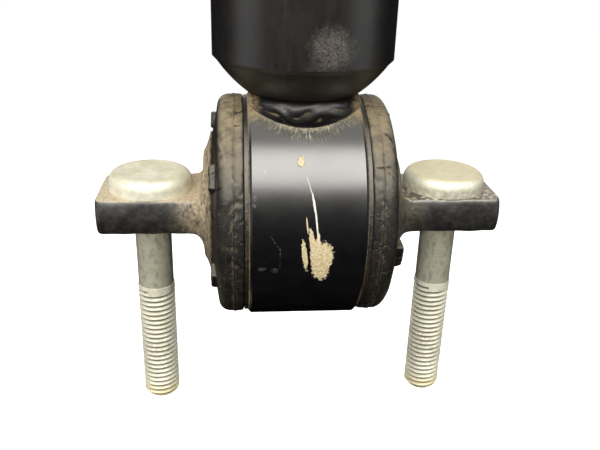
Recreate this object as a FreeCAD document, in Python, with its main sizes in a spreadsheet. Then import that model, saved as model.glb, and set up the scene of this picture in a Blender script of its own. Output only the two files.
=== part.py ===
"""Rear shock absorber: twin-tube damper with a bar-pin eye below, a bushed eye above and a dust tube.

The frame: +Z runs up the damper, X along the bar pin, Y across it. The origin is the middle of the two
lower studs, on the underside of the bar pin, where the shock seats on its bracket. Millimetres.
Every size is a cell of the sheet "dims", and each piece is bound to those cells.
The damper is drawn fully extended, its rest length.
"""

import FreeCAD, Part
import math
import os
import re
import Sketcher

Vector = FreeCAD.Vector

# name of the size, value in millimetres (or a count), and what it is
SIZES = [
    # overall
    ("stroke", 165, "travel of the rod into the damper"),
    ("tube_outer", 54, "outside of the reservoir tube"),
    ("bore_diameter", 32, "bore of the pressure tube"),
    ("rod_diameter", 14, "piston rod"),
    ("ring_outer", 70.5, "outside of the lower eye ring"),
    ("run_gap", 0.05, "radial clearance of a running fit"),
    ("part_gap", 0.3, "air between pieces that move past each other"),
    # bar pin
    ("stud_spacing", 94, "distance between the two studs"),
    ("ear_thickness", 11, "flattened ends of the bar pin"),
    ("bar_diameter", 27.5, "round bar that the ends are flattened from"),
    ("ear_reach", 15.5, "end of the bar pin beyond a stud"),
    ("ear_edge", 1.8, "rounding of the bar pin's ends"),
    ("ear_root", 0.6, "flare that the flattening leaves whole"),
    ("ear_runout", 3.2, "radius where the flat runs out into the flare"),
    ("barrel_diameter", 26, "middle of the bar pin, inside the bush"),
    ("collar_diameter", 45.6, "collar of the bar pin outside the bush"),
    ("collar_thickness", 2.3, "rim of that collar"),
    ("flare_radius", 6, "hollow flare from the collar to the bar"),
    # studs
    ("stud_size", 12, "thread diameter of a stud"),
    ("stud_pitch", 1.75, "thread pitch of a stud"),
    ("thread_depth", 1.07, "depth of that thread"),
    ("stud_shank", 11.5, "plain shank of a stud"),
    ("shank_length", 22.8, "plain shank under the ear"),
    ("thread_length", 43.2, "threaded part with its point"),
    ("root_flat", 0.3, "flat at the bottom of that thread"),
    ("stud_point", 1.5, "chamfered point of a stud"),
    ("neck_diameter", 12.6, "neck of a stud, pressed into the ear"),
    ("neck_teeth", 30, "splines round the neck"),
    ("tooth_depth", 0.3, "depth of a spline"),
    ("head_diameter", 25.8, "round head of a stud"),
    ("head_height", 5.6, "height of that head"),
    ("head_round", 3.1, "rounding of the head's edge"),
    ("head_dish", 0.5, "shallow dish in the head's top"),
    ("dish_slope", 2.4, "width of the slope into that dish"),
    # lower eye and its bush
    ("ring_wall", 4.5, "wall of the lower eye ring"),
    ("ring_width", 33.5, "length of the ring along the bar pin"),
    ("ring_edge", 0.9, "chamfer of the ring's edges"),
    ("sleeve_wall", 1.5, "steel sleeve around the rubber"),
    ("lip_height", 3.4, "lip of the sleeve, outwards from the sleeve"),
    ("lip_thickness", 1.1, "thickness of that lip"),
    ("flange_inset", 0.75, "rubber flange inside the ring's outside"),
    ("flange_rim", 4.6, "straight rim of that flange"),
    ("flange_shoulder", 3.4, "rounding of the flange's outer edge"),
    ("flange_depth", 9.15, "rubber that stands out past the lip"),
    ("flange_face", 46, "where the flange's sloping face ends"),
    ("lug_width", 8, "rubber stop lug across"),
    ("lug_height", 5.8, "rubber stop lug along the radius"),
    ("lug_turn_right", 14, "first lug on the +X side, degrees below -Y"),
    ("lug_turn_left", 36, "first lug on the -X side, degrees below -Y"),
    ("lug_count_right", 3, "lugs on the +X side"),
    ("lug_count_left", 5, "lugs on the -X side"),
    ("lug_root", 2.4, "part of a lug inside the rubber"),
    ("lug_proud", 1.6, "rubber stop lug beyond the rubber's end"),
    # tube and base cup
    ("cup_height", 11.95, "base cup from the ring to the tube's end"),
    ("tube_wall", 2, "wall of the reservoir tube"),
    ("tube_lip", 3.5, "rim rolled in over the end cap"),
    ("cup_wall", 3, "wall of the base cup"),
    ("cup_skirt", 9, "skirt of the base cup inside the tube"),
    ("cup_edge", 1.2, "chamfer under the tube's end"),
    ("cup_dome", 40, "radius of the cup's dished side"),
    ("cup_neck", 34, "cup's diameter at the weld"),
    ("cup_side", 10.4, "height of the dished side with its chamfer"),
    ("cup_flat", 24, "flat of the cup that sits on the ring"),
    ("weld_outer", 36.8, "foot of the weld on the ring"),
    ("weld_bulge", 9, "radius of the weld's face"),
    ("weld_inset", 0.5, "weld short of the ring's ends"),
    # pressure tube and base valve
    ("pressure_wall", 1.5, "wall of the pressure tube"),
    ("valve_feet", 6, "feet of the base valve over the cup's floor"),
    ("foot_wall", 1.6, "thickness of a foot"),
    ("foot_slot", 9, "oil passage between the feet"),
    ("valve_web", 4, "web of the base valve"),
    ("valve_plug", 4, "part of the base valve inside the tube"),
    ("plug_wall", 2, "wall of that part"),
    ("intake_port", 3, "outer ports of the base valve"),
    ("intake_circle", 21, "circle of the outer ports"),
    ("intake_count", 8, "number of outer ports"),
    ("bleed_port", 2, "inner ports of the base valve"),
    ("bleed_circle", 12.6, "circle of the inner ports"),
    ("bleed_count", 4, "number of inner ports"),
    ("port_land", 0.7, "seat of a disc beyond its ports"),
    ("base_discs", 0.8, "stack of discs under the base valve"),
    ("intake_disc", 0.4, "spring-steel disc over the base valve"),
    ("pin_diameter", 5, "pin through the base valve"),
    ("pin_head", 9, "heads of that pin"),
    ("pin_head_height", 1.6, "height of those heads"),
    # piston
    ("piston_spare", 20, "room under the piston when compressed"),
    ("piston_overlap", 35, "piston to rod guide when extended"),
    ("spigot_diameter", 10, "end of the rod that carries the piston"),
    ("spigot_length", 24, "length of that end"),
    ("spigot_point", 1, "chamfer of that end"),
    ("piston_height", 12, "height of the piston"),
    ("piston_relief", 0.35, "piston body inside the bore"),
    ("band_height", 7, "sliding band round the piston"),
    ("band_wall", 1.2, "thickness of that band"),
    ("flow_port", 3, "outer ports of the piston"),
    ("flow_circle", 23.6, "circle of the outer ports"),
    ("return_port", 2.4, "inner ports of the piston"),
    ("return_circle", 16, "circle of the inner ports"),
    ("piston_ports", 6, "ports in each circle"),
    ("check_disc", 0.5, "spring-steel disc on top of the piston"),
    ("rebound_stack", 1.2, "stack of discs under the piston"),
    ("nut_across", 17, "piston nut across flats"),
    ("nut_height", 8, "height of the piston nut"),
    ("stop_diameter", 24, "rebound stop on the rod"),
    ("stop_height", 3, "height of the rebound stop"),
    ("bumper_height", 9, "rubber bumper on the rebound stop"),
    ("bumper_diameter", 22, "outside of that bumper"),
    ("bumper_round", 2, "rounding of that bumper"),
    # rod guide, seal, end cap and striker cap
    ("guide_height", 15, "height of the rod guide"),
    ("seal_height", 7, "height of the rod seal in the guide"),
    ("seal_outer", 26, "outside of the rod seal"),
    ("seal_relief", 1.2, "hollow between the seal's two lips"),
    ("seal_lip", 1.5, "height of a seal lip"),
    ("bushing_wall", 1, "wall of the rod bushing"),
    ("oring_wire", 2.2, "section of the guide's O-ring"),
    ("cap_thickness", 2, "end cap over the seal"),
    ("cap_clear", 1, "end cap round the rod"),
    ("striker_wall", 1.2, "striker cap on top of the tube"),
    ("striker_skirt", 12, "skirt of the striker cap"),
    ("striker_clear", 4, "striker cap round the rod"),
    ("drain_hole", 3.5, "drain holes of the striker cap"),
    ("drain_circle", 34, "circle of the drain holes"),
    ("drain_count", 4, "number of drain holes"),
    # bump stop and dust tube
    ("bump_outer", 44, "outside of the foam bump stop"),
    ("bump_tip", 26, "lower end of the bump stop"),
    ("bump_waist", 34, "waist of the bump stop"),
    ("bump_length", 28, "length of the bump stop"),
    ("dust_gap", 2.6, "air between the striker cap and the dust tube"),
    ("dust_wall", 1.2, "wall of the dust tube"),
    ("dust_overlap", 24, "cover of the dust tube over the damper"),
    ("cap_plate", 2.5, "dust cap on the rod"),
    ("cap_weld", 4, "weld of the dust cap to the rod"),
    # upper eye
    ("eye_stub", 7.75, "rod between the dust cap and the upper ring"),
    ("top_outer", 40, "outside of the upper eye ring"),
    ("top_wall", 4, "wall of the upper eye ring"),
    ("top_width", 32, "length of the upper eye ring"),
    ("top_edge", 0.8, "chamfer of that ring's edges"),
    ("top_weld", 25, "weld of the rod to the upper ring"),
    ("top_sleeve", 18, "outside of the upper steel sleeve"),
    ("top_bore", 12.2, "bolt hole of that sleeve"),
    ("top_flange", 3, "rubber beyond the upper ring"),
    ("top_flange_round", 1.5, "rounding of that rubber"),
    ("top_flange_inset", 1.5, "that rubber inside the ring's outside"),
    ("sleeve_proud", 1, "steel sleeve beyond the rubber"),
]

SOLID = "PartDesign::Body"

doc = FreeCAD.newDocument("rear_shock_absorber")
sheet = doc.addObject("Spreadsheet::Sheet", "dims")
for row, (alias, value, meaning) in enumerate(SIZES, start=1):
    sheet.set(f"A{row}", alias)
    sheet.set(f"B{row}", str(value))
    sheet.set(f"C{row}", meaning)
    sheet.setAlias(f"B{row}", alias)
doc.recompute()

ALIASES = re.compile(r"\b(" + "|".join(name for name, _, _ in SIZES) + r")\b")
pieces = []


def bound(formula):
    """The formula with each size written as a cell of the sheet."""
    return ALIASES.sub(r"dims.\1", formula)


def size(formula):
    """What a formula of the sheet's sizes comes to now."""
    return float(sheet.evalExpression(formula))


def new_body(name, up="0", along="0"):
    """A body whose zero stands at height up, and at along on the X axis."""
    body = doc.addObject(SOLID, name)
    body.Label = name
    body.AllowCompound = True
    body.setExpression("Placement.Base.z", bound(up))
    body.setExpression("Placement.Base.x", bound(along))
    pieces.append(body)
    return body


def on_plane(body, role, name):
    """A sketch on one of the body's own origin planes."""
    sketch = body.newObject("Sketcher::SketchObject", name)
    plane = next(item for item in body.Origin.OriginFeatures if item.Role == role)
    sketch.AttachmentSupport = [(plane, "")]
    sketch.MapMode = "FlatFace"
    return sketch


def pin_point(sketch, geometry, end, across, upward):
    """Bind one end of a line or arc to formulas across and upward from the origin."""
    for kind, axis, formula in (("DistanceX", -2, across), ("DistanceY", -1, upward)):
        if formula == "0":
            sketch.addConstraint(Sketcher.Constraint("PointOnObject", geometry, end, axis))
            continue
        value = size(formula)
        index = sketch.addConstraint(Sketcher.Constraint(kind, -1, 1, geometry, end, value))
        sketch.setExpression(f"Constraints[{index}]", bound(formula))


def bow(start, finish, radius, side):
    """The arc between two points with its centre on the left (1) or right (-1) of the way."""
    chord = finish - start
    middle = (start + finish) / 2
    left = Vector(-chord.y, chord.x, 0).normalize()
    centre = middle + left * side * math.sqrt(radius ** 2 - chord.Length ** 2 / 4)
    circle = Part.Circle(centre, Vector(0, 0, 1), radius)
    ends = [math.atan2(point.y - centre.y, point.x - centre.x) for point in (start, finish)]
    first, last = ends if side == 1 else reversed(ends)
    return Part.ArcOfCircle(circle, first, last)


def draw(sketch, outline):
    """Close an outline of (across, upward) corners; a corner reached by an arc adds radius and side."""
    corners = [Vector(size(corner[0]), size(corner[1]), 0) for corner in outline]
    base = sketch.GeometryCount
    starts, finishes = [], []
    for index, corner in enumerate(outline):
        start, finish = corners[index - 1], corners[index]
        if len(corner) == 2:
            sketch.addGeometry(Part.LineSegment(start, finish))
            side = 1
        else:
            side = corner[3]
            sketch.addGeometry(bow(start, finish, size(corner[2]), side))
        starts.append(1 if side == 1 else 2)
        finishes.append(2 if side == 1 else 1)
    for index, corner in enumerate(outline):
        here, following = base + index, (index + 1) % len(outline)
        joint = Sketcher.Constraint(
            "Coincident", here, finishes[index], base + following, starts[following])
        sketch.addConstraint(joint)
        pin_point(sketch, here, finishes[index], corner[0], corner[1])
        if len(corner) > 2:
            arc = sketch.addConstraint(Sketcher.Constraint("Radius", here, size(corner[2])))
            sketch.setExpression(f"Constraints[{arc}]", bound(corner[2]))


def draw_circle(sketch, across, upward, diameter):
    """A circle with its centre at two formulas."""
    place = Vector(size(across), size(upward), 0)
    radius = size(f"({diameter}) / 2")
    index = sketch.addGeometry(Part.Circle(place, Vector(0, 0, 1), radius))
    pin_point(sketch, index, 3, across, upward)
    bind = sketch.addConstraint(Sketcher.Constraint("Radius", index, radius))
    sketch.setExpression(f"Constraints[{bind}]", bound(f"({diameter}) / 2"))


def turned(name, outline, up="0", axis="V_Axis", along="0"):
    """A body turned about Z (V_Axis: radius, height) or about X (H_Axis: length, radius)."""
    body = new_body(name, up, along)
    sketch = on_plane(body, "XZ_Plane", name + "_profile")
    draw(sketch, outline)
    solid = body.newObject("PartDesign::Revolution", name + "_turned")
    solid.Profile = sketch
    solid.ReferenceAxis = (sketch, [axis])
    solid.Angle = 360
    return body


def both_ends(half):
    """A whole outline along X from its half on the +X side, given from the outside inwards."""
    other = []
    for index in reversed(range(len(half))):
        arc = half[index + 1][2:] if index + 1 < len(half) else ()
        other.append((f"-({half[index][0]})", half[index][1], *arc))
    return half + other


def cut(body, sketch, length=None):
    """Cut a sketch out of the body, both ways from its plane."""
    pocket = body.newObject("PartDesign::Pocket", sketch.Name + "_cut")
    pocket.Profile = sketch
    pocket.SideType = "Symmetric"
    if length:
        pocket.Type = "Length"
        pocket.setExpression("Length", bound(length))
    else:
        pocket.Type = "ThroughAll"
    return pocket


def around(body, feature, count, role="Z_Axis"):
    """Repeat a feature round one of the body's axes."""
    pattern = body.newObject("PartDesign::PolarPattern", feature.Name + "_ring")
    pattern.Originals = [feature]
    axis = next(item for item in body.Origin.OriginFeatures if item.Role == role)
    pattern.Axis = (axis, [""])
    pattern.Angle = 360
    pattern.setExpression("Occurrences", bound(count))
    body.Tip = pattern
    return pattern


def ports(body, name, circle, diameter, count):
    """A ring of round holes through the body."""
    sketch = on_plane(body, "XY_Plane", name)
    draw_circle(sketch, f"{circle} / 2", "0", diameter)
    doc.recompute()
    return around(body, cut(body, sketch), count)


def saddle(body, diameter, upward="0"):
    """Cut away the round of an eye ring that lies along X at a height of the body's own."""
    sketch = on_plane(body, "YZ_Plane", body.Name + "_saddle")
    draw_circle(sketch, "0", upward, diameter)
    doc.recompute()
    return cut(body, sketch)


# Heights above the origin, from the lower eye to the upper one.
EYE = "ear_thickness / 2"
CUP_FOOT = f"{EYE} + ring_outer / 2"
CUP_INSIDE = f"{CUP_FOOT} + cup_wall"
TUBE_FOOT = f"{CUP_FOOT} + cup_height"
VALVE_WEB = f"{CUP_INSIDE} + valve_feet"
VALVE_SEAT = f"{VALVE_WEB} + valve_web"
VALVE_TOP = f"{VALVE_SEAT} + valve_plug"
SHOULDER = f"{VALVE_TOP} + piston_spare + spigot_length + stroke"
GUIDE_FOOT = f"{SHOULDER} + piston_overlap"
GUIDE_TOP = f"{GUIDE_FOOT} + guide_height"
TUBE_TOP = f"{GUIDE_TOP} + cap_thickness + tube_wall"
BUMP_FOOT = f"{TUBE_TOP} + striker_wall + stroke + part_gap"
DUST_CAP = f"{BUMP_FOOT} + bump_length"
DUST_TOP = f"{DUST_CAP} + cap_plate"
TOP_EYE = f"{DUST_TOP} + eye_stub + top_outer / 2"

# Radii that pieces share.
TUBE_OUT = "tube_outer / 2"
TUBE_IN = "(tube_outer / 2 - tube_wall)"
BORE = "bore_diameter / 2"
PRESSURE_OUT = "(bore_diameter / 2 + pressure_wall)"
ROD = "rod_diameter / 2"
ROD_RUN = "(rod_diameter / 2 + run_gap)"
RING_OUT = "ring_outer / 2"
RING_IN = "(ring_outer / 2 - ring_wall)"
SLEEVE_IN = "(ring_outer / 2 - ring_wall - sleeve_wall)"
FLANGE = "(ring_outer / 2 - flange_inset)"
RING_END = "ring_width / 2"
LIP_END = "(ring_width / 2 + lip_thickness)"
RUBBER_END = "(ring_width / 2 + lip_thickness + flange_depth)"
COLLAR_IN = "(ring_width / 2 + lip_thickness + flange_depth + part_gap)"
COLLAR_OUT = "(ring_width / 2 + lip_thickness + flange_depth + part_gap + collar_thickness)"
FLARE_END = f"({COLLAR_OUT} + flare_radius)"
BAR_END = "(stud_spacing / 2 + ear_reach)"
BAR = "bar_diameter / 2"


# Bar pin: a round bar turned down in the bush, with a collar and a hollow flare each side, its ends
# flattened above and below into ears, each bored for a stud.
bar_pin = turned("bar_pin", both_ends([
    (COLLAR_IN, "barrel_diameter / 2"),
    (COLLAR_IN, "collar_diameter / 2"),
    (COLLAR_OUT, "collar_diameter / 2"),
    (COLLAR_OUT, f"{BAR} + flare_radius"),
    (FLARE_END, BAR, "flare_radius", 1),
    (f"{BAR_END} - ear_edge", BAR),
    (BAR_END, f"{BAR} - ear_edge", "ear_edge", -1),
    (BAR_END, "0"),
]), up=EYE, axis="H_Axis")
flats = on_plane(bar_pin, "XZ_Plane", "ear_flats")
EAR = "ear_thickness / 2"
EAR_IN = f"({COLLAR_OUT} + ear_root)"
for end in (1, -1):
    for face in (1, -1):
        draw(flats, [
            (f"{end} * ({EAR_IN} + ear_runout)", f"{face} * {EAR}", "ear_runout", end * face),
            (f"{end} * ({BAR_END} + ear_runout)", f"{face} * {EAR}"),
            (f"{end} * ({BAR_END} + ear_runout)", f"{face} * bar_diameter"),
            (f"{end} * {EAR_IN}", f"{face} * bar_diameter"),
            (f"{end} * {EAR_IN}", f"{face} * ({EAR} + ear_runout)"),
        ])
doc.recompute()
cut(bar_pin, flats, "2 * bar_diameter")
stud_holes = on_plane(bar_pin, "XY_Plane", "stud_holes")
for end in (1, -1):
    draw_circle(stud_holes, f"{end} * stud_spacing / 2", "0", "neck_diameter")
doc.recompute()
cut(bar_pin, stud_holes)

# Studs: a round head with a dished top, a splined neck pressed into the ear, a plain shank and a
# rolled thread. The second is the same part moved along the bar pin.
STUD_END = "(shank_length + thread_length)"
stud = turned("stud", [
    ("0", f"-{STUD_END}"),
    ("stud_size / 2 - stud_point", f"-{STUD_END}"),
    ("stud_size / 2", f"stud_point - {STUD_END}"),
    ("stud_size / 2", "-shank_length"),
    ("stud_shank / 2", "-shank_length"),
    ("stud_shank / 2", "0"),
    ("neck_diameter / 2", "0"),
    ("neck_diameter / 2", "ear_thickness"),
    ("head_diameter / 2", "ear_thickness"),
    ("head_diameter / 2", "ear_thickness + head_height - head_round"),
    ("head_diameter / 2 - head_round", "ear_thickness + head_height", "head_round", 1),
    ("head_diameter / 2 - head_round - dish_slope", "ear_thickness + head_height - head_dish"),
    ("0", "ear_thickness + head_height - head_dish"),
], along="stud_spacing / 2")
pieces.remove(stud)
spline = on_plane(stud, "XY_Plane", "neck_spline")
draw(spline, [
    ("neck_diameter / 2 - tooth_depth", "0"),
    ("neck_diameter / 2 + tooth_depth", "2 * tooth_depth"),
    ("neck_diameter / 2 + tooth_depth", "-2 * tooth_depth"),
])
doc.recompute()
around(stud, cut(stud, spline, "2 * ear_thickness"), "neck_teeth")
thread_form = on_plane(stud, "XZ_Plane", "thread_form")
FORM_HALF = "(root_flat / 2 + 2 * thread_depth * tan(30))"
FORM_FOOT = f"({STUD_END} + stud_pitch)"
draw(thread_form, [
    ("stud_size / 2 - thread_depth", f"root_flat / 2 - {FORM_FOOT}"),
    ("stud_size / 2 - thread_depth", f"-root_flat / 2 - {FORM_FOOT}"),
    ("stud_size / 2 + thread_depth", f"-{FORM_HALF} - {FORM_FOOT}"),
    ("stud_size / 2 + thread_depth", f"{FORM_HALF} - {FORM_FOOT}"),
])
doc.recompute()
thread = stud.newObject("PartDesign::SubtractiveHelix", "thread")
thread.Profile = thread_form
thread.ReferenceAxis = (thread_form, ["V_Axis"])
thread.Mode = 0
thread.setExpression("Pitch", bound("stud_pitch"))
thread.setExpression("Height", bound("thread_length"))
other_stud = doc.addObject("App::Link", "other_stud")
other_stud.LinkedObject = stud
other_stud.LinkTransform = True
other_stud.setExpression("Placement.Base.x", bound("-stud_spacing"))
lower_studs = doc.addObject("Part::Compound", "lower_studs")
lower_studs.Links = [stud, other_stud]
lower_studs.Label = "lower_studs"
pieces.append(lower_studs)

# Lower eye: the ring, and the bush pressed into it, a steel sleeve with a lip rolled over each end of
# the ring and a rubber that is moulded to the sleeve and runs out into a flange each side.
turned("eye_ring", both_ends([
    (f"{RING_END} - ring_edge", RING_OUT),
    (RING_END, f"{RING_OUT} - ring_edge"),
    (RING_END, RING_IN),
]), up=EYE, axis="H_Axis")
turned("bush_outer_sleeve", both_ends([
    (RING_END, RING_IN),
    (RING_END, f"{RING_IN} + lip_height"),
    (LIP_END, f"{RING_IN} + lip_height"),
    (LIP_END, SLEEVE_IN),
]), up=EYE, axis="H_Axis")
rubber = turned("rubber_bush", both_ends([
    (LIP_END, SLEEVE_IN),
    (LIP_END, FLANGE),
    (f"{LIP_END} + flange_rim", FLANGE),
    (f"{LIP_END} + flange_rim + flange_shoulder", f"{FLANGE} - flange_shoulder",
     "flange_shoulder", -1),
    (RUBBER_END, "flange_face / 2"),
    (RUBBER_END, "barrel_diameter / 2 + run_gap"),
]), up=EYE, axis="H_Axis")

# Stop lugs: short blocks of the same rubber round the bar pin's collar, on both end faces.
LUG_IN = "(collar_diameter / 2 + part_gap)"
LUG_OUT = "(collar_diameter / 2 + part_gap + lug_height)"
for end, side, first in ((1, "right", "lug_turn_right"), (-1, "left", "lug_turn_left")):
    lug = on_plane(rubber, "YZ_Plane", f"{side}_lug")
    lug.setExpression("AttachmentOffset.Base.z", bound(f"{end} * ({RUBBER_END} - lug_root)"))
    lug_corners = [(LUG_IN, "-"), (LUG_OUT, "-"), (LUG_OUT, "+"), (LUG_IN, "+")]
    draw(lug, [
        (f"-({radius} * cos({first}) {half} lug_width / 2 * sin({first}))",
         f"-({radius} * sin({first})) {half} lug_width / 2 * cos({first})")
        for radius, half in lug_corners
    ])
    doc.recompute()
    block = rubber.newObject("PartDesign::Pad", f"{side}_lug_block")
    block.Profile = lug
    block.Reversed = end == -1
    block.setExpression("Length", bound("lug_root + lug_proud"))
    around(rubber, block, f"lug_count_{side}", "X_Axis")

# Base cup: its flat sits on the ring, its dished side runs up to a chamfer under the tube, and its
# skirt stands inside the tube. The weld fills the wedge between the cup and the ring all round.
turned("base_cup", [
    ("0", "-cup_height"),
    ("cup_flat / 2", "-cup_height"),
    ("cup_neck / 2", "-cup_side"),
    (f"{TUBE_OUT} - cup_edge", "-cup_edge", "cup_dome", 1),
    (TUBE_OUT, "0"),
    (TUBE_IN, "0"),
    (TUBE_IN, "cup_skirt"),
    (f"{TUBE_IN} - cup_wall", "cup_skirt"),
    (f"{TUBE_IN} - cup_wall", "0"),
    ("cup_neck / 2 - cup_wall", "cup_wall - cup_height"),
    ("0", "cup_wall - cup_height"),
], up=TUBE_FOOT)
WELD_FOOT = "sqrt((ring_outer / 2) ^ 2 - (weld_outer / 2) ^ 2)"
weld = turned("eye_weld", [
    ("cup_flat / 2", RING_OUT),
    ("cup_flat / 2", f"{WELD_FOOT} - cup_wall"),
    ("weld_outer / 2", f"{WELD_FOOT} - cup_wall"),
    ("weld_outer / 2", WELD_FOOT),
    ("cup_neck / 2", f"{RING_OUT} + cup_height - cup_side", "weld_bulge", 1),
], up=EYE)
saddle(weld, "ring_outer")
ends = on_plane(weld, "XY_Plane", "weld_ends")
for end in (1, -1):
    draw(ends, [
        (f"{end} * ({RING_END} - weld_inset)", "-weld_outer"),
        (f"{end} * weld_outer", "-weld_outer"),
        (f"{end} * weld_outer", "weld_outer"),
        (f"{end} * ({RING_END} - weld_inset)", "weld_outer"),
    ])
doc.recompute()
cut(weld, ends)

# Reservoir tube, its rim rolled in over the end cap.
TUBE_LENGTH = f"({TUBE_TOP} - ({TUBE_FOOT}))"
turned("reservoir_tube", [
    (TUBE_IN, "0"),
    (TUBE_OUT, "0"),
    (TUBE_OUT, f"{TUBE_LENGTH} - tube_wall"),
    (f"{TUBE_OUT} - tube_wall", TUBE_LENGTH, "tube_wall", 1),
    (f"{TUBE_IN} - tube_lip", TUBE_LENGTH),
    (f"{TUBE_IN} - tube_lip", f"{TUBE_LENGTH} - tube_wall"),
    (TUBE_IN, f"{TUBE_LENGTH} - tube_wall"),
], up=TUBE_FOOT)

# Pressure tube, from the base valve's seat to the rod guide's step.
PRESSURE_LENGTH = f"({GUIDE_TOP} - seal_height - ({VALVE_SEAT}))"
turned("pressure_tube", [
    (BORE, "0"),
    (PRESSURE_OUT, "0"),
    (PRESSURE_OUT, PRESSURE_LENGTH),
    (BORE, PRESSURE_LENGTH),
], up=VALVE_SEAT)

# Base valve: four feet on the cup's floor, a web with two rings of ports and a plug in the tube.
FOOT_OUT = "(cup_neck / 2 - cup_wall)"
WEB_TOP = "(valve_feet + valve_web)"
valve = turned("base_valve_body", [
    (f"{FOOT_OUT} - foot_wall", "0"),
    (FOOT_OUT, "0"),
    (FOOT_OUT, "valve_feet"),
    (PRESSURE_OUT, "valve_feet"),
    (PRESSURE_OUT, WEB_TOP),
    (BORE, WEB_TOP),
    (BORE, f"{WEB_TOP} + valve_plug"),
    (f"{BORE} - plug_wall", f"{WEB_TOP} + valve_plug"),
    (f"{BORE} - plug_wall", WEB_TOP),
    ("pin_diameter / 2", WEB_TOP),
    ("pin_diameter / 2", "valve_feet"),
    (f"{FOOT_OUT} - foot_wall", "valve_feet"),
], up=CUP_INSIDE)
slots = on_plane(valve, "XZ_Plane", "foot_slots")
draw(slots, [
    ("-foot_slot / 2", "-valve_feet"),
    ("foot_slot / 2", "-valve_feet"),
    ("foot_slot / 2", "valve_feet"),
    ("-foot_slot / 2", "valve_feet"),
])
doc.recompute()
around(valve, cut(valve, slots), "4")
ports(valve, "intake_ports", "intake_circle", "intake_port", "intake_count")
ports(valve, "bleed_ports", "bleed_circle", "bleed_port", "bleed_count")
turned("base_valve_discs", [
    ("pin_diameter / 2", "-base_discs"),
    ("bleed_circle / 2 + bleed_port / 2 + port_land", "-base_discs"),
    ("bleed_circle / 2 + bleed_port / 2 + port_land", "0"),
    ("pin_diameter / 2", "0"),
], up=VALVE_WEB)
intake = turned("base_intake_disc", [
    ("pin_diameter / 2", "0"),
    ("intake_circle / 2 + intake_port / 2 + port_land", "0"),
    ("intake_circle / 2 + intake_port / 2 + port_land", "intake_disc"),
    ("pin_diameter / 2", "intake_disc"),
], up=VALVE_SEAT)
ports(intake, "disc_bleed_ports", "bleed_circle", "bleed_port", "bleed_count")
turned("base_valve_pin", [
    ("0", "-base_discs - pin_head_height"),
    ("pin_head / 2", "-base_discs - pin_head_height"),
    ("pin_head / 2", "-base_discs"),
    ("pin_diameter / 2", "-base_discs"),
    ("pin_diameter / 2", "valve_web + intake_disc"),
    ("pin_head / 2", "valve_web + intake_disc"),
    ("pin_head / 2", "valve_web + intake_disc + pin_head_height"),
    ("0", "valve_web + intake_disc + pin_head_height"),
], up=VALVE_WEB)

# Piston rod: a thin lower end for the piston, and a top that is saddled to the upper ring.
ROD_LENGTH = f"({TOP_EYE} - ({SHOULDER}))"
SPIGOT = "spigot_diameter / 2"
rod = turned("piston_rod", [
    ("0", "-spigot_length"),
    (f"{SPIGOT} - spigot_point", "-spigot_length"),
    (SPIGOT, "spigot_point - spigot_length"),
    (SPIGOT, "0"),
    (ROD, "0"),
    (ROD, ROD_LENGTH),
    ("0", ROD_LENGTH),
], up=SHOULDER)
saddle(rod, "top_outer", ROD_LENGTH)

# Piston stack, clamped between the rod's shoulder and a nut: a disc, the piston with its sliding
# band, a stack of discs and the nut.
PISTON_TOP = "-check_disc"
PISTON_FOOT = "(-check_disc - piston_height)"
BAND_IN = f"({BORE} - run_gap - band_wall)"
BAND_FOOT = f"({PISTON_FOOT} + (piston_height - band_height) / 2)"
PISTON_OUT = f"({BORE} - piston_relief)"
piston = turned("piston", [
    (SPIGOT, PISTON_FOOT),
    (PISTON_OUT, PISTON_FOOT),
    (PISTON_OUT, f"{BAND_FOOT} - run_gap"),
    (f"{BAND_IN} - run_gap", f"{BAND_FOOT} - run_gap"),
    (f"{BAND_IN} - run_gap", f"{BAND_FOOT} + band_height + run_gap"),
    (PISTON_OUT, f"{BAND_FOOT} + band_height + run_gap"),
    (PISTON_OUT, PISTON_TOP),
    (SPIGOT, PISTON_TOP),
], up=SHOULDER)
ports(piston, "flow_ports", "flow_circle", "flow_port", "piston_ports")
ports(piston, "return_ports", "return_circle", "return_port", "piston_ports")
turned("piston_band", [
    (BAND_IN, BAND_FOOT),
    (f"{BORE} - run_gap", BAND_FOOT),
    (f"{BORE} - run_gap", f"{BAND_FOOT} + band_height"),
    (BAND_IN, f"{BAND_FOOT} + band_height"),
], up=SHOULDER)
DISC_OUT = "flow_circle / 2 + flow_port / 2 + port_land"
check = turned("piston_check_disc", [
    (SPIGOT, "-check_disc"),
    (DISC_OUT, "-check_disc"),
    (DISC_OUT, "0"),
    (SPIGOT, "0"),
], up=SHOULDER)
ports(check, "check_ports", "return_circle", "return_port", "piston_ports")
STACK_OUT = "return_circle / 2 + return_port / 2 + port_land"
STACK_FOOT = f"({PISTON_FOOT} - rebound_stack)"
turned("rebound_valve_discs", [
    (SPIGOT, STACK_FOOT),
    (STACK_OUT, STACK_FOOT),
    (STACK_OUT, PISTON_FOOT),
    (SPIGOT, PISTON_FOOT),
], up=SHOULDER)
nut = new_body("piston_nut", up=f"{SHOULDER} + {STACK_FOOT} - nut_height")
hexagon = on_plane(nut, "XY_Plane", "nut_hexagon")
draw(hexagon, [
    (f"nut_across / sqrt(3) * cos({corner * 60})", f"nut_across / sqrt(3) * sin({corner * 60})")
    for corner in range(6)
])
draw_circle(hexagon, "0", "0", "spigot_diameter")
doc.recompute()
nut_block = nut.newObject("PartDesign::Pad", "nut_block")
nut_block.Profile = hexagon
nut_block.setExpression("Length", bound("nut_height"))

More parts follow.
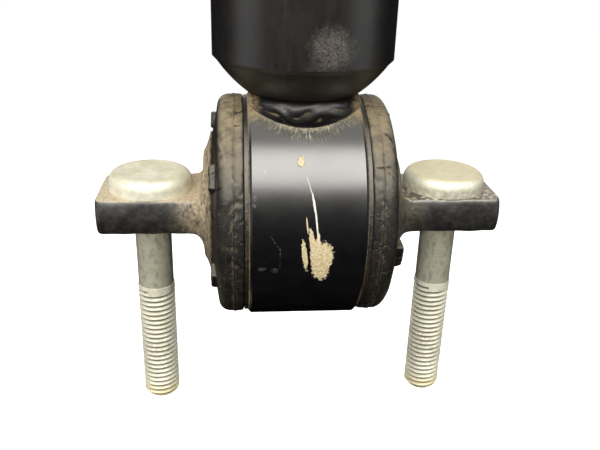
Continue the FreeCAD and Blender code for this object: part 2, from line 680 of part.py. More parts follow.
# Rebound stop: a ring swaged on the rod with a rubber bumper that meets the rod guide.
turned("rebound_stop", [
    (ROD, "-stop_height"),
    ("stop_diameter / 2", "-stop_height"),
    ("stop_diameter / 2", "0"),
    (ROD, "0"),
], up=f"{GUIDE_FOOT} - part_gap - bumper_height")
turned("rebound_bumper", [
    (ROD, "0"),
    ("bumper_diameter / 2", "0"),
    ("bumper_diameter / 2", "bumper_height - bumper_round"),
    ("bumper_diameter / 2 - bumper_round", "bumper_height", "bumper_round", 1),
    (ROD, "bumper_height"),
], up=f"{GUIDE_FOOT} - part_gap - bumper_height")

# Rod guide with its bushing, O-ring and seal, held down by the end cap.
STEP = "(guide_height - seal_height)"
BUSHING_OUT = f"({ROD_RUN} + bushing_wall)"
GROOVE = f"({STEP} + seal_height / 2)"
turned("rod_guide", [
    (BUSHING_OUT, "0"),
    (BORE, "0"),
    (BORE, STEP),
    (TUBE_IN, STEP),
    (TUBE_IN, f"{GROOVE} - oring_wire / 2"),
    (f"{TUBE_IN} - oring_wire", f"{GROOVE} - oring_wire / 2"),
    (f"{TUBE_IN} - oring_wire", f"{GROOVE} + oring_wire / 2"),
    (TUBE_IN, f"{GROOVE} + oring_wire / 2"),
    (TUBE_IN, "guide_height"),
    ("seal_outer / 2", "guide_height"),
    ("seal_outer / 2", STEP),
    (BUSHING_OUT, STEP),
], up=GUIDE_FOOT)
turned("rod_guide_bushing", [
    (ROD_RUN, "0"),
    (BUSHING_OUT, "0"),
    (BUSHING_OUT, STEP),
    (ROD_RUN, STEP),
], up=GUIDE_FOOT)
oring = doc.addObject("Part::Torus", "guide_seal_ring")
oring.Label = "guide_seal_ring"
oring.setExpression("Radius1", bound(f"{TUBE_IN} - oring_wire / 2"))
oring.setExpression("Radius2", bound("oring_wire / 2"))
oring.setExpression("Placement.Base.z", bound(f"{GUIDE_FOOT} + {GROOVE}"))
pieces.append(oring)
turned("rod_seal", [
    (ROD_RUN, "0"),
    ("seal_outer / 2", "0"),
    ("seal_outer / 2", "seal_height"),
    (ROD_RUN, "seal_height"),
    (ROD_RUN, "seal_height - seal_lip"),
    (f"{ROD_RUN} + seal_relief", "seal_height - seal_lip - seal_relief"),
    (f"{ROD_RUN} + seal_relief", "seal_lip + seal_relief"),
    (ROD_RUN, "seal_lip"),
], up=f"{GUIDE_TOP} - seal_height")
turned("end_cap", [
    (f"{ROD} + cap_clear", "0"),
    (TUBE_IN, "0"),
    (TUBE_IN, "cap_thickness"),
    (f"{ROD} + cap_clear", "cap_thickness"),
], up=GUIDE_TOP)

# Striker cap: a pressed cap on the tube's rim that the bump stop lands on, with drain holes.
striker = turned("striker_cap", [
    (f"{ROD} + striker_clear", "0"),
    (TUBE_OUT, "0"),
    (TUBE_OUT, "-striker_skirt"),
    (f"{TUBE_OUT} + striker_wall", "-striker_skirt"),
    (f"{TUBE_OUT} + striker_wall", "0"),
    (TUBE_OUT, "striker_wall", "striker_wall", 1),
    (f"{ROD} + striker_clear", "striker_wall"),
], up=TUBE_TOP)
ports(striker, "drain_holes", "drain_circle", "drain_hole", "drain_count")

# Bump stop on the rod, dust cap welded to the rod, and the dust tube round the damper.
turned("bump_stop", [
    (ROD, "0"),
    ("bump_tip / 2", "0"),
    ("bump_outer / 2", "bump_length / 4"),
    ("bump_outer / 2", "bump_length / 3"),
    ("bump_waist / 2", "bump_length / 2"),
    ("bump_outer / 2", "bump_length * 2 / 3"),
    ("bump_outer / 2", "bump_length"),
    (ROD, "bump_length"),
], up=BUMP_FOOT)
DUST_IN = f"({TUBE_OUT} + striker_wall + dust_gap)"
turned("dust_cap", [
    (ROD, "0"),
    (DUST_IN, "0"),
    (DUST_IN, "cap_plate"),
    (ROD, "cap_plate"),
], up=DUST_CAP)
DUST_LENGTH = f"({DUST_TOP} - ({TUBE_TOP} - dust_overlap))"
turned("dust_tube", [
    (DUST_IN, f"-{DUST_LENGTH}"),
    (f"{DUST_IN} + dust_wall", f"-{DUST_LENGTH}"),
    (f"{DUST_IN} + dust_wall", "0"),
    (DUST_IN, "0"),
], up=DUST_TOP)
turned("dust_cap_weld", [
    (ROD, "0"),
    (f"{ROD} + cap_weld", "0"),
    (ROD, "cap_weld", "cap_weld * 1.2", -1),
], up=DUST_TOP)

# Upper eye: a ring welded to the rod, a rubber bush and a steel sleeve for the bolt.
TOP_OUT = "top_outer / 2"
TOP_IN = "(top_outer / 2 - top_wall)"
TOP_FLANGE = "(top_outer / 2 - top_flange_inset)"
TOP_END = "top_width / 2"
TOP_RUBBER = "(top_width / 2 + top_flange)"
TOP_RUN = "top_sleeve / 2 + run_gap"
turned("upper_eye_ring", both_ends([
    (f"{TOP_END} - top_edge", TOP_OUT),
    (TOP_END, f"{TOP_OUT} - top_edge"),
    (TOP_END, TOP_IN),
]), up=TOP_EYE, axis="H_Axis")
turned("upper_rubber_bush", both_ends([
    (TOP_END, TOP_IN),
    (TOP_END, TOP_FLANGE),
    (f"{TOP_RUBBER} - top_flange_round", TOP_FLANGE),
    (TOP_RUBBER, f"{TOP_FLANGE} - top_flange_round", "top_flange_round", -1),
    (TOP_RUBBER, TOP_RUN),
]), up=TOP_EYE, axis="H_Axis")
turned("upper_inner_sleeve", both_ends([
    (f"{TOP_RUBBER} + sleeve_proud", "top_sleeve / 2"),
    (f"{TOP_RUBBER} + sleeve_proud", "top_bore / 2"),
]), up=TOP_EYE, axis="H_Axis")
TOP_WELD_FOOT = "sqrt((top_outer / 2) ^ 2 - (top_weld / 2) ^ 2)"
top_weld = turned("upper_eye_weld", [
    (ROD, f"cap_weld + part_gap - {TOP_OUT} - eye_stub"),
    ("top_weld / 2", f"-{TOP_WELD_FOOT}"),
    ("top_weld / 2", "-top_weld / 2"),
    (ROD, "-top_weld / 2"),
], up=TOP_EYE)
saddle(top_weld, "top_outer")

doc.recompute()
FAULTS = {"Invalid", "Error"}
for item in doc.Objects:
    if FAULTS & set(item.State):
        raise RuntimeError(f"{item.Label} was not made: {item.State}")
for piece in pieces:
    shape = piece.Shape
    if shape.isNull() or not shape.isValid() or not shape.Solids:
        raise RuntimeError(f"{piece.Label} is not a sound solid")
os.makedirs("parts", exist_ok=True)
for piece in pieces:
    piece.Shape.exportStep(os.path.join("parts", piece.Label + ".step"))
    print(f"{piece.Label}: {len(piece.Shape.Solids)} solid, {piece.Shape.Volume / 1000:.3f} cm3")
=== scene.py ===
# %% [markdown]
# # A rear shock absorber, dressed
#
# The lower end of this damper is the part one sees: a black tube with a dished closure, welded on a wide
# eye ring; a rubber bush in the ring; and a forged bar pin through it with two studs that point down.
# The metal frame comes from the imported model, where each piece has its true size. This script adds what
# a solid modeller leaves out: the weld bead, the worn rubber, rounded forging edges, paint, dust and chips.
#
# Blender's unit is the metre, so a small value `MM` turns a size in millimetres into Blender's unit.

import math
import random

import bpy
from mathutils import Matrix, Vector, noise


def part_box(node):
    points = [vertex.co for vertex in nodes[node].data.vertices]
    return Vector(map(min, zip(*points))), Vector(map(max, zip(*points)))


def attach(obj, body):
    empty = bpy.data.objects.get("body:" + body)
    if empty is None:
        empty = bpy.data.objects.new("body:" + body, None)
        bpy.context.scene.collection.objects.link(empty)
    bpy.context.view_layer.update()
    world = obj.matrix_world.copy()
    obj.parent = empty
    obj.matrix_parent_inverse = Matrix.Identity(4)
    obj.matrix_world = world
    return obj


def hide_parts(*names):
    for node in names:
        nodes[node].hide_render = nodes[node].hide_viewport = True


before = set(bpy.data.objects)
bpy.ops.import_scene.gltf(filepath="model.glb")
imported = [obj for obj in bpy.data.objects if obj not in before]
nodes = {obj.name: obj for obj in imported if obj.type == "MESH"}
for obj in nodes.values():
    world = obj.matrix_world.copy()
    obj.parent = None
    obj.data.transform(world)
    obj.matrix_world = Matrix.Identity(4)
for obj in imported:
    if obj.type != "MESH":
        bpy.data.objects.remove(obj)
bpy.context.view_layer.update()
MM = 0.001
print("pieces in the frame:", len(nodes))

# %% [markdown]
# ## Places that everything else is measured from
#
# A piece must sit where the frame says, so every place is read from the frame's own boxes. The eye's
# centre is the middle of the ring's box, and the tube's lower end is the bottom of the tube's box.

# %% Read the places
def middle(node):
    """The centre of a node's box."""
    low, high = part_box(node)
    return (low + high) / 2


def half(node):
    """Half of a node's box along x, y and z, in millimetres."""
    low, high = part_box(node)
    return (high - low) / 2 / MM


eye = middle("eye_ring")
ring_half, _, ring_radius = half("eye_ring")
lip_half = half("bush_outer_sleeve").x
upper_eye = middle("upper_eye_ring")
upper_half, _, upper_radius = half("upper_eye_ring")
stud_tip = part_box("lower_studs")[0].z
print("eye centre", tuple(round(value / MM, 2) for value in eye), "ring radius", round(ring_radius, 2))
print("upper eye centre height", round(upper_eye.z / MM, 2), "ring radius", round(upper_radius, 2))

# %% [markdown]
# ## Camera, lights and floor
#
# A short distance and a moderate lens give the strong perspective of a close view: the camera is about
# 23 cm from the eye, and looks down by 23 degrees. It is built from three turns and a place, so each one
# can be read: yaw about the vertical, pitch down, and a small roll about the line of sight.
#
# The light is that of a pale studio. One long panel stands above the camera and gives the ring its wide
# soft highlight; it lights only gloss, so that it can be bright without bleaching the studs. The others
# light the matt surfaces from above, in front, from both sides and from behind. The floor glows a little
# and is not seen in reflections, so the ground stays white and black paint stays deep.

# %% Camera
CAMERA_PITCH, CAMERA_YAW, CAMERA_ROLL = 23.38, -5.58, 1.72
CAMERA_OFFSET = Vector((-19.9, -209.96, 82.99)) * MM
camera_data = bpy.data.cameras.new("camera")
camera_data.sensor_width = 36
camera_data.lens = 41.91
camera_data.clip_start = 0.01
camera_data.clip_end = 20
camera = bpy.data.objects.new("camera", camera_data)
bpy.context.scene.collection.objects.link(camera)
turn = (Matrix.Rotation(math.radians(CAMERA_YAW), 4, "Z")
        @ Matrix.Rotation(math.radians(90 - CAMERA_PITCH), 4, "X")
        @ Matrix.Rotation(math.radians(CAMERA_ROLL), 4, "Z"))
camera.matrix_world = Matrix.Translation(eye + CAMERA_OFFSET) @ turn
bpy.context.scene.camera = camera
print("camera to eye:", round(CAMERA_OFFSET.length, 3), "m")

# %% Colour and node helpers
def linear(code):
    """An sRGB hex colour as linear RGBA."""
    channels = [int(code[at:at + 2], 16) / 255 for at in (1, 3, 5)]
    curve = [c / 12.92 if c <= 0.04045 else ((c + 0.055) / 1.055) ** 2.4 for c in channels]
    return (*curve, 1.0)


def add_node(tree, kind, links=(), **settings):
    """Add a node. A setting in_Name is an input socket, in_6 is a socket by number, others are its own."""
    node = tree.nodes.new(kind)
    for key, value in settings.items():
        if key.startswith("in_"):
            name = key[3:]
            socket = node.inputs[int(name)] if name.isdigit() else node.inputs[name.replace("_", " ")]
            socket.default_value = value
        else:
            setattr(node, key, value)
    for source, target in links:
        tree.links.new(source, node.inputs[target])
    return node


print("mid grey in linear light:", round(linear("#808080")[0], 3))


# %% Floor, sky and lights
def studio_light(name, place, size, power, matt=True, gloss=True):
    """A rectangular panel of light, turned towards the eye."""
    data = bpy.data.lights.new(name, "AREA")
    data.shape = "RECTANGLE"
    data.size, data.size_y = size
    data.energy = power
    light = bpy.data.objects.new(name, data)
    bpy.context.scene.collection.objects.link(light)
    light.location = eye + Vector(place)
    light.rotation_euler = (-Vector(place)).to_track_quat("-Z", "Y").to_euler()
    light.visible_diffuse, light.visible_glossy = matt, gloss
    light.visible_camera = False
    return light


FLOOR_DROP = 260 * MM
bpy.ops.object.select_all(action="DESELECT")
bpy.ops.mesh.primitive_plane_add(size=12, location=(0, 0, stud_tip - FLOOR_DROP))
floor = bpy.context.active_object
floor.name = "floor"
floor_paint = bpy.data.materials.new("pale_floor")
floor_paint.use_nodes = True
floor_shader = floor_paint.node_tree.nodes["Principled BSDF"]
floor_shader.inputs["Base Color"].default_value = linear("#f4f4f3")
floor_shader.inputs["Roughness"].default_value = 0.9
floor_shader.inputs["Emission Color"].default_value = linear("#ffffff")
floor_shader.inputs["Emission Strength"].default_value = 1.0
floor.data.materials.append(floor_paint)
floor.visible_glossy = floor.visible_diffuse = False

sky = bpy.data.worlds.new("pale_studio")
sky.use_nodes = True
sky.node_tree.nodes["Background"].inputs["Color"].default_value = linear("#ffffff")
sky.node_tree.nodes["Background"].inputs["Strength"].default_value = 1.0
sky.cycles_visibility.glossy = sky.cycles_visibility.diffuse = False
bpy.context.scene.world = sky
bpy.context.scene.view_settings.view_transform = "Standard"
highlight = studio_light("panel_highlight", (0.0, -0.40, 0.58), (1.30, 0.50), 39, matt=False)
highlight.data.color = linear("#fffcf5")[:3]
studio_light("panel_above", (-0.10, -0.25, 0.75), (0.9, 0.7), 4.4, gloss=False)
studio_light("panel_front", (-0.25, -0.75, 0.22), (0.6, 0.5), 6.8, gloss=False)
studio_light("panel_left", (-0.75, -0.20, 0.12), (0.5, 0.7), 1.5)
studio_light("panel_right", (0.75, -0.30, 0.15), (0.5, 0.7), 1.5)
studio_light("panel_back", (0.15, 0.80, 0.45), (1.1, 0.6), 5)
# %% [markdown]
# ## What the finishes have in common
#
# The real part has run under a car, so every finish is a clean coat with road dust on it. A finish here is
# a Principled shader that starts from the clean material; nodes then lay dust, scuffs and chips over its
# colour. All patterns use Object coordinates in metres: `every(2)` is the scale of a pattern that repeats
# every 2 mm. The normal of the surface, also taken in object space so that it turns with the part, tells
# where dust can settle.

# %% Shared steps of a finish
def every(size):
    """The texture scale of a pattern with features of this size in millimetres."""
    return 1 / (size * MM)


def finish(name, colour, roughness, **settings):
    """A new material with a Principled shader: the material, its tree, shader and coordinates."""
    material = bpy.data.materials.new(name)
    material.use_nodes = True
    tree = material.node_tree
    shader = tree.nodes["Principled BSDF"]
    shader.inputs["Base Color"].default_value = linear(colour)
    shader.inputs["Roughness"].default_value = roughness
    for key, value in settings.items():
        shader.inputs[key.replace("_", " ")].default_value = value
    return material, tree, shader, add_node(tree, "ShaderNodeTexCoord")


def lay_over(tree, under, over, *masks):
    """The colour over on top of the colour under, where all masks are. Each is a socket or a hex colour."""
    mix = add_node(tree, "ShaderNodeMix", [(both(tree, *masks), "Factor")], data_type="RGBA")
    for colour, number in ((under, 6), (over, 7)):
        if isinstance(colour, str):
            mix.inputs[number].default_value = linear(colour)
        else:
            tree.links.new(colour, mix.inputs[number])
    return mix.outputs[2]


print("a pattern with 2 mm features has the texture scale", every(2))


# %% Masks
def both(tree, *masks, operation="MULTIPLY"):
    """Where every mask is. A plain number weakens the others."""
    joined = masks[0]
    for mask in masks[1:]:
        join = add_node(tree, "ShaderNodeMath", operation=operation, use_clamp=True)
        for value, number in ((joined, 0), (mask, 1)):
            if isinstance(value, (int, float)):
                join.inputs[number].default_value = value
            else:
                tree.links.new(value, join.inputs[number])
        joined = join.outputs[0]
    return joined


def either(tree, *masks):
    """Where any mask is."""
    return both(tree, *masks, operation="MAXIMUM")


def patches(tree, place, size, low, high, stretch=(1, 1, 1), detail=5):
    """A cloudy mask: 0 where the noise is under low, 1 where it is over high."""
    pulled = add_node(tree, "ShaderNodeMapping", [(place, "Vector")], in_Scale=stretch)
    cloud = add_node(tree, "ShaderNodeTexNoise", [(pulled.outputs[0], "Vector")],
                     in_Scale=every(size), in_Detail=detail, in_Roughness=0.6)
    limits = add_node(tree, "ShaderNodeMapRange", [(cloud.outputs["Fac"], "Value")],
                      in_From_Min=low, in_From_Max=high)
    return limits.outputs[0]


def ramp(tree, value, start, end, out_start=0.0, out_end=1.0):
    """value moved from start..end to out_start..out_end, and held there outside."""
    limits = add_node(tree, "ShaderNodeMapRange", [(value, "Value")], in_From_Min=start, in_From_Max=end,
                      in_To_Min=out_start, in_To_Max=out_end, interpolation_type="SMOOTHSTEP")
    return limits.outputs[0]


def fade(tree, distance, start, end):
    """A mask that is 0 at start and 1 at end, both in millimetres of the distance."""
    return ramp(tree, distance, start * MM, end * MM)


def coordinates(tree, spot):
    """The x, y and z of a place, and its distance from the middle plane x = 0."""
    parts = add_node(tree, "ShaderNodeSeparateXYZ", [(spot, "Vector")])
    across = add_node(tree, "ShaderNodeMath", [(parts.outputs["X"], 0)], operation="ABSOLUTE")
    return (*parts.outputs, across.outputs[0])


def settled(tree, place, low, high):
    """Where dust can lie: 0 on faces whose upward slope is under low, 1 over high."""
    return ramp(tree, coordinates(tree, place.outputs["Normal"])[2], low, high)


def concave(tree, flat, hollow):
    """Where the surface is hollow: 0 at the first pointiness, 1 at the second, and 0.5 is a flat face."""
    shape = add_node(tree, "ShaderNodeNewGeometry")
    return ramp(tree, shape.outputs["Pointiness"], flat, hollow)


print("a mask that fades over 2 mm spans", 2 * MM, "of Blender's unit")


# %% Raised patterns
def bumps(tree, shader, height, depth, after=None):
    """Raise the surface by depth millimetres where height is 1. Returns the normal."""
    links = [(height, "Height")] + ([(after, "Normal")] if after else [])
    bump = add_node(tree, "ShaderNodeBump", links, in_Strength=1.0, in_Distance=depth * MM)
    tree.links.new(bump.outputs[0], shader.inputs["Normal"])
    return bump.outputs[0]


def fine_skin(tree, shader, spot, grain, depth, detail, after=None):
    """Raise a fine noise with this grain by depth, both in millimetres. Returns the normal."""
    fine = add_node(tree, "ShaderNodeTexNoise", [(spot, "Vector")], in_Scale=every(grain), in_Detail=detail)
    return bumps(tree, shader, fine.outputs["Fac"], depth, after)


print("a skin raised by 0.05 mm has a bump distance of", 0.05 * MM)


# %% Marks on a skin
def blotch(tree, sheet, at, reach, turn=0.0, ragged=0.5, grain=1.4, soft=0.06):
    """One ragged mark on an unrolled surface. Its centre at and half sizes reach are millimetres."""
    mapped = add_node(tree, "ShaderNodeMapping", [(sheet, "Vector")], vector_type="TEXTURE",
                      in_Location=(at[0] * MM, at[1] * MM, 0), in_Rotation=(0, 0, math.radians(turn)),
                      in_Scale=(reach[0] * MM, reach[1] * MM, 1))
    far = add_node(tree, "ShaderNodeVectorMath", [(mapped.outputs[0], 0)], operation="LENGTH")
    cloud = add_node(tree, "ShaderNodeTexNoise", [(sheet, "Vector")], in_Scale=every(grain), in_Detail=6,
                     in_Roughness=0.65)
    wave = add_node(tree, "ShaderNodeMath", [(cloud.outputs["Fac"], 0), (far.outputs["Value"], 2)],
                    operation="MULTIPLY_ADD", in_1=2 * ragged)
    return ramp(tree, wave.outputs[0], 1 + ragged + soft, 1 + ragged - soft)


def marks(tree, sheet, rows):
    """All the ragged marks of a table as one mask."""
    return either(tree, *(blotch(tree, sheet, *row) for row in rows))


def unroll(tree, place, centre, radius):
    """The skin of a drum along x: its own coordinates, the arc upwards from its front, and a flat map."""
    moved = add_node(tree, "ShaderNodeMapping", [(place.outputs["Object"], "Vector")],
                     in_Location=tuple(-value for value in centre))
    x, y, z, across = coordinates(tree, moved.outputs[0])
    front = add_node(tree, "ShaderNodeMath", [(y, 0)], operation="MULTIPLY", in_1=-1.0)
    angle = add_node(tree, "ShaderNodeMath", [(z, 0), (front.outputs[0], 1)], operation="ARCTAN2")
    arc = add_node(tree, "ShaderNodeMath", [(angle.outputs[0], 0)], operation="MULTIPLY",
                   in_1=radius * MM)
    sheet = add_node(tree, "ShaderNodeCombineXYZ", [(x, "X"), (arc.outputs[0], "Y")])
    return (x, y, z, across), arc.outputs[0], sheet.outputs[0]


print("marks on a skin: a table's rows become blotches, and marks joins them")

# %% [markdown]
# ## Black dip paint on the eye ring
#
# The ring is a cut tube of steel with a black dip paint, thin and smooth, of medium gloss: IOR 1.5,
# roughness about 0.3 with a faint orange peel of 1.5 mm. A stone has taken a patch of paint off low on the
# front and drawn a long scratch above it, and pale dust has dried into the bare spots. Below the weld,
# frosty brush marks run down. Each mark has its own place on the ring, so the finish reads coordinates of
# the unrolled ring: millimetres along the bar pin, and millimetres of arc upwards from the front.

# %% The ring's marks
# A row is one mark: its centre and half sizes along the pin and up the arc, turn, raggedness and grain.
CHIPS = (((3.9, -3.4), (2.8, 5.0), -10, 0.7, 1.0), ((3.3, -7.4), (2.3, 3.7), 12, 0.9, 1.0),
         ((2.2, -0.6), (1.5, 3.4), 0, 0.7, 1.0), ((0.9, 0.9), (0.8, 4.8), 8, 0.7, 1.0),
         ((1.7, -3.6), (1.3, 4.6), 8, 0.8, 1.0), ((-0.7, 6.6), (0.22, 2.4), 6, 0.4, 1.0),
         ((-1.2, -2.4), (0.75, 4.8), 8, 0.9, 1.0), ((2.4, 2.2), (0.45, 2.4), -4, 0.4, 1.0),
         ((-2.1, 24.6), (0.95, 1.7), -12, 0.7, 1.0))
SCRATCHES = (((1.15, 12.6), (0.30, 3.2), 9, 0.5), ((1.9, 7.4), (0.24, 6.4), 6, 0.4),
             ((0.1, 17.2), (0.12, 3.4), 16, 0.5))
SLIT = (((-0.05, -2.8), (0.32, 6.4), 8, 0.6),)
SCUFFS = (((-15.2, 14.2), (0.7, 0.8), 0, 0.7, 0.7), ((-15.4, 12.3), (0.6, 0.75), 0, 0.7),
          ((-13.0, -6.7), (1.4, 0.7), 10, 1.0), ((-9.5, -7.2), (1.0, 0.8), 0, 1.0),
          ((-8.1, -3.2), (0.14, 3.4), 0, 0.6), ((-9.4, 1.4), (0.14, 2.8), 32, 0.6),
          ((-12.2, 21.5), (0.4, 0.5), 0, 0.5))
print("marks on the ring:", len(CHIPS + SCRATCHES + SLIT + SCUFFS))

# %% The ring's masks
ring_paint, tree, shader, place = finish("black_dip_paint_on_ring", "#0b0b0d", 0.25, IOR=1.5)
spot = place.outputs["Object"]
(x, y, z, across), arc, sheet = unroll(tree, place, eye, ring_radius)
beside_slit = both(tree, 1.0, marks(tree, sheet, SLIT), operation="SUBTRACT")
chipped = both(tree, marks(tree, sheet, CHIPS), beside_slit)
scratched = marks(tree, sheet, SCRATCHES)
scuffed = both(tree, marks(tree, sheet, SCUFFS), patches(tree, sheet, 0.7, 0.42, 0.62))
worn_edge = both(tree, fade(tree, across, ring_half - 0.45, ring_half - 0.15),
                 patches(tree, spot, 0.8, 0.30, 0.60))
below_weld = both(tree, fade(tree, arc, 29, 38), fade(tree, arc, 62, 55))
corners = both(tree, fade(tree, across, 9.5, 15.5), below_weld, patches(tree, spot, 2.2, 0.36, 0.56),
               fade(tree, arc, 36, 43))
haze = patches(tree, spot, 5, 0.3, 0.75)
print("nodes for the ring's masks:", len(tree.nodes))

# %% Dried spray round the weld
# Whiskers point away from the weld, so their noise is read in polar coordinates about the upright axis.
WELD_RIM = 18
level = add_node(tree, "ShaderNodeCombineXYZ", [(x, "X"), (y, "Y")])
from_weld = add_node(tree, "ShaderNodeVectorMath", [(level.outputs[0], 0)], operation="LENGTH")
bearing = add_node(tree, "ShaderNodeMath", [(y, 0), (x, 1)], operation="ARCTAN2")
round_weld = add_node(tree, "ShaderNodeMath", [(bearing.outputs[0], 0)], operation="MULTIPLY",
                      in_1=WELD_RIM * MM)
fan = add_node(tree, "ShaderNodeCombineXYZ",
               [(round_weld.outputs[0], "X"), (from_weld.outputs["Value"], "Y")])
whiskers = both(tree, patches(tree, fan.outputs[0], 0.5, 0.50, 0.64, stretch=(1, 0.22, 1)),
                patches(tree, sheet, 2.6, 0.24, 0.56),
                fade(tree, from_weld.outputs["Value"], WELD_RIM + 6, WELD_RIM + 0.5),
                fade(tree, z, WELD_RIM, WELD_RIM + 4))
foot_line = both(tree, fade(tree, from_weld.outputs["Value"], WELD_RIM + 2.4, WELD_RIM + 0.9),
                 patches(tree, sheet, 1.1, 0.38, 0.60), 0.7)
spray = either(tree, whiskers, foot_line)
print("nodes with the spray:", len(tree.nodes))

# %% The ring's paint
bare_spot = lay_over(tree, "#bda87a", "#dccba2", patches(tree, sheet, 0.8, 0.42, 0.60))
colour = "#060608"
for coat, *masks in (("#2c2b2c", haze, 0.16), ("#9a9890", below_weld, 0.38), ("#c6b890", spray),
                     ("#b39a6b", corners), ("#8d8068", worn_edge, 0.85), ("#6f6b62", scuffed, 0.5),
                     (bare_spot, chipped), ("#dedccb", scratched)):
    colour = lay_over(tree, colour, coat, *masks)
tree.links.new(colour, shader.inputs["Base Color"])
bare = either(tree, chipped, scratched)
matt = either(tree, bare, corners, spray, both(tree, patches(tree, spot, 9, 0.25, 0.8), 0.22))
tree.links.new(ramp(tree, matt, 0, 1, 0.30, 0.85), shader.inputs["Roughness"])
orange_peel = fine_skin(tree, shader, spot, 1.5, 0.012, 2)
bumps(tree, shader, beside_slit, 0.03, after=bumps(tree, shader, bare, -0.12, after=orange_peel))
print("ring paint nodes:", len(tree.nodes))

# %% [markdown]
# ## The same paint on the tube, the closure and the small welded parts
#
# Road spray has dried on these: a brown smear low on the front of the tube, faint runs down its length,
# and an olive film on the closure, which faces the road. One function makes the family, because only the
# amount of film, the smear and the gloss differ.

# %% Paint with a dried film
def filmed_paint(name, colour, film_colour, roughness, film, runs, smear=None):
    """Black paint with dust film (0 to 1), vertical runs (0 to 1), and a smear at x, z, half sizes in mm."""
    material, tree, shader, place = finish(name, colour, roughness, IOR=1.5)
    spot = place.outputs["Object"]
    cloud = both(tree, patches(tree, spot, 7, 0.25, 0.8), film)
    streak = both(tree, patches(tree, spot, 2.4, 0.48, 0.72, stretch=(1, 1, 0.06)), runs)
    grit = both(tree, patches(tree, spot, 0.7, 0.55, 0.68), film)
    dust = either(tree, cloud, streak, grit)
    if smear:
        x, y, z, _ = coordinates(tree, spot)
        sheet = add_node(tree, "ShaderNodeCombineXYZ", [(x, "X"), (z, "Y")])
        for at, reach, turn_by, strength in smear:
            mark = blotch(tree, sheet.outputs[0], at, reach, turn_by, ragged=0.7, grain=2.2, soft=0.55)
            mottled = both(tree, mark, fade(tree, y, 0, -4), patches(tree, spot, 0.55, 0.22, 0.74), strength)
            dust = either(tree, dust, mottled)
    tree.links.new(lay_over(tree, colour, film_colour, dust), shader.inputs["Base Color"])
    tree.links.new(ramp(tree, dust, 0, 0.8, roughness, 0.85), shader.inputs["Roughness"])
    bumps(tree, shader, dust, 0.05, after=fine_skin(tree, shader, spot, 1.6, 0.015, 3))
    return material


SMEAR = (((5.4, 58.4), (5.6, 5.0), -30, 0.50), ((4.3, 54.4), (6.0, 2.0), 5, 0.26),
         ((-5, 64), (8, 5), 0, 0.07))
tube_paint = filmed_paint("black_dip_paint_on_tube", "#0a090a", "#7d7468", 0.35, 0.05, 0.07, SMEAR)
cup_paint = filmed_paint("dusty_paint_on_closure", "#080704", "#655f49", 0.44, 0.13, 0.05)
cover_paint = filmed_paint("semi_gloss_paint_on_cover", "#111113", "#7d7768", 0.33, 0.12, 0.16)
small_eye_paint = filmed_paint("black_dip_paint_on_upper_eye", "#0f0f11", "#857b68", 0.34, 0.22, 0.08)
print("filmed paints:", tube_paint.name, cup_paint.name, cover_paint.name, small_eye_paint.name)

# %% [markdown]
# ## Weld bead under paint
#
# The weld was painted after it cooled, so its folds are glossy black, and rusty dust stays in the valleys.
# The folds themselves are modelled; the finish only adds the dust by asking how concave the surface is.

# %% The weld's paint
weld_paint, tree, shader, place = finish("paint_on_weld_bead", "#0c0b0b", 0.40, IOR=1.5,
                                         Specular_IOR_Level=0.22)
spot = place.outputs["Object"]
_, _, _, across = coordinates(tree, spot)
valleys = both(tree, concave(tree, 0.502, 0.482), patches(tree, spot, 2.0, 0.36, 0.60), 0.75)
ends = both(tree, fade(tree, across, 12.5, 16.0), patches(tree, spot, 2.4, 0.33, 0.55))
dirt = either(tree, valleys, ends)
tree.links.new(lay_over(tree, "#0c0b0b", "#94805a", dirt), shader.inputs["Base Color"])
tree.links.new(ramp(tree, dirt, 0, 1, 0.40, 0.9), shader.inputs["Roughness"])
fine_skin(tree, shader, spot, 0.8, 0.05, 3)
print("weld paint nodes:", len(tree.nodes))

# %% [markdown]
# ## Paint and mud on the bar pin
#
# The bar pin is a forging under thin black paint. Its flats face up, so dust lies thick on them, most on
# the left; the right one was knocked cleaner and shows dark speckled paint with flakes of dried mud by the
# bush. The hollow flares hold a coat of brown dust. The upright faces stay dark, with a soft worn edge.

# %% The bar pin's paint
bar_paint, tree, shader, place = finish("paint_on_forged_bar_pin", "#1a1917", 0.42, IOR=1.5)
spot = place.outputs["Object"]
x, _, _, across = coordinates(tree, spot)
to_right = fade(tree, x, -20, 20)
flat_top = settled(tree, place, 0.45, 0.85)
left_dust = both(tree, flat_top, either(tree, patches(tree, spot, 0.9, 0.36, 0.50), 0.72))
right_dust = both(tree, flat_top, either(tree, patches(tree, spot, 1.5, 0.52, 0.58), 0.16))
top_dust = add_node(tree, "ShaderNodeMix", [(to_right, "Factor"), (left_dust, 2), (right_dust, 3)],
                    data_type="FLOAT")
near_bush = fade(tree, across, 42, 30)
flare_dust = both(tree, near_bush, patches(tree, spot, 1.4, 0.30, 0.60), settled(tree, place, -0.9, 0.5),
                  ramp(tree, to_right, 0, 1, 0.95, 0.3))
dust = either(tree, top_dust.outputs[0], flare_dust)
dust_colour = lay_over(tree, "#c9b999", "#b9a682", near_bush)
colour = lay_over(tree, "#181716", "#302e2c", patches(tree, spot, 2.2, 0.4, 0.7))
colour = lay_over(tree, colour, "#5d5344", patches(tree, spot, 2.4, 0.54, 0.76), 0.35)
tree.links.new(lay_over(tree, colour, dust_colour, dust), shader.inputs["Base Color"])
tree.links.new(ramp(tree, dust, 0, 1, 0.42, 0.95), shader.inputs["Roughness"])
bumps(tree, shader, dust, 0.10, after=fine_skin(tree, shader, spot, 1.8, 0.12, 4))
print("bar pin paint nodes:", len(tree.nodes))

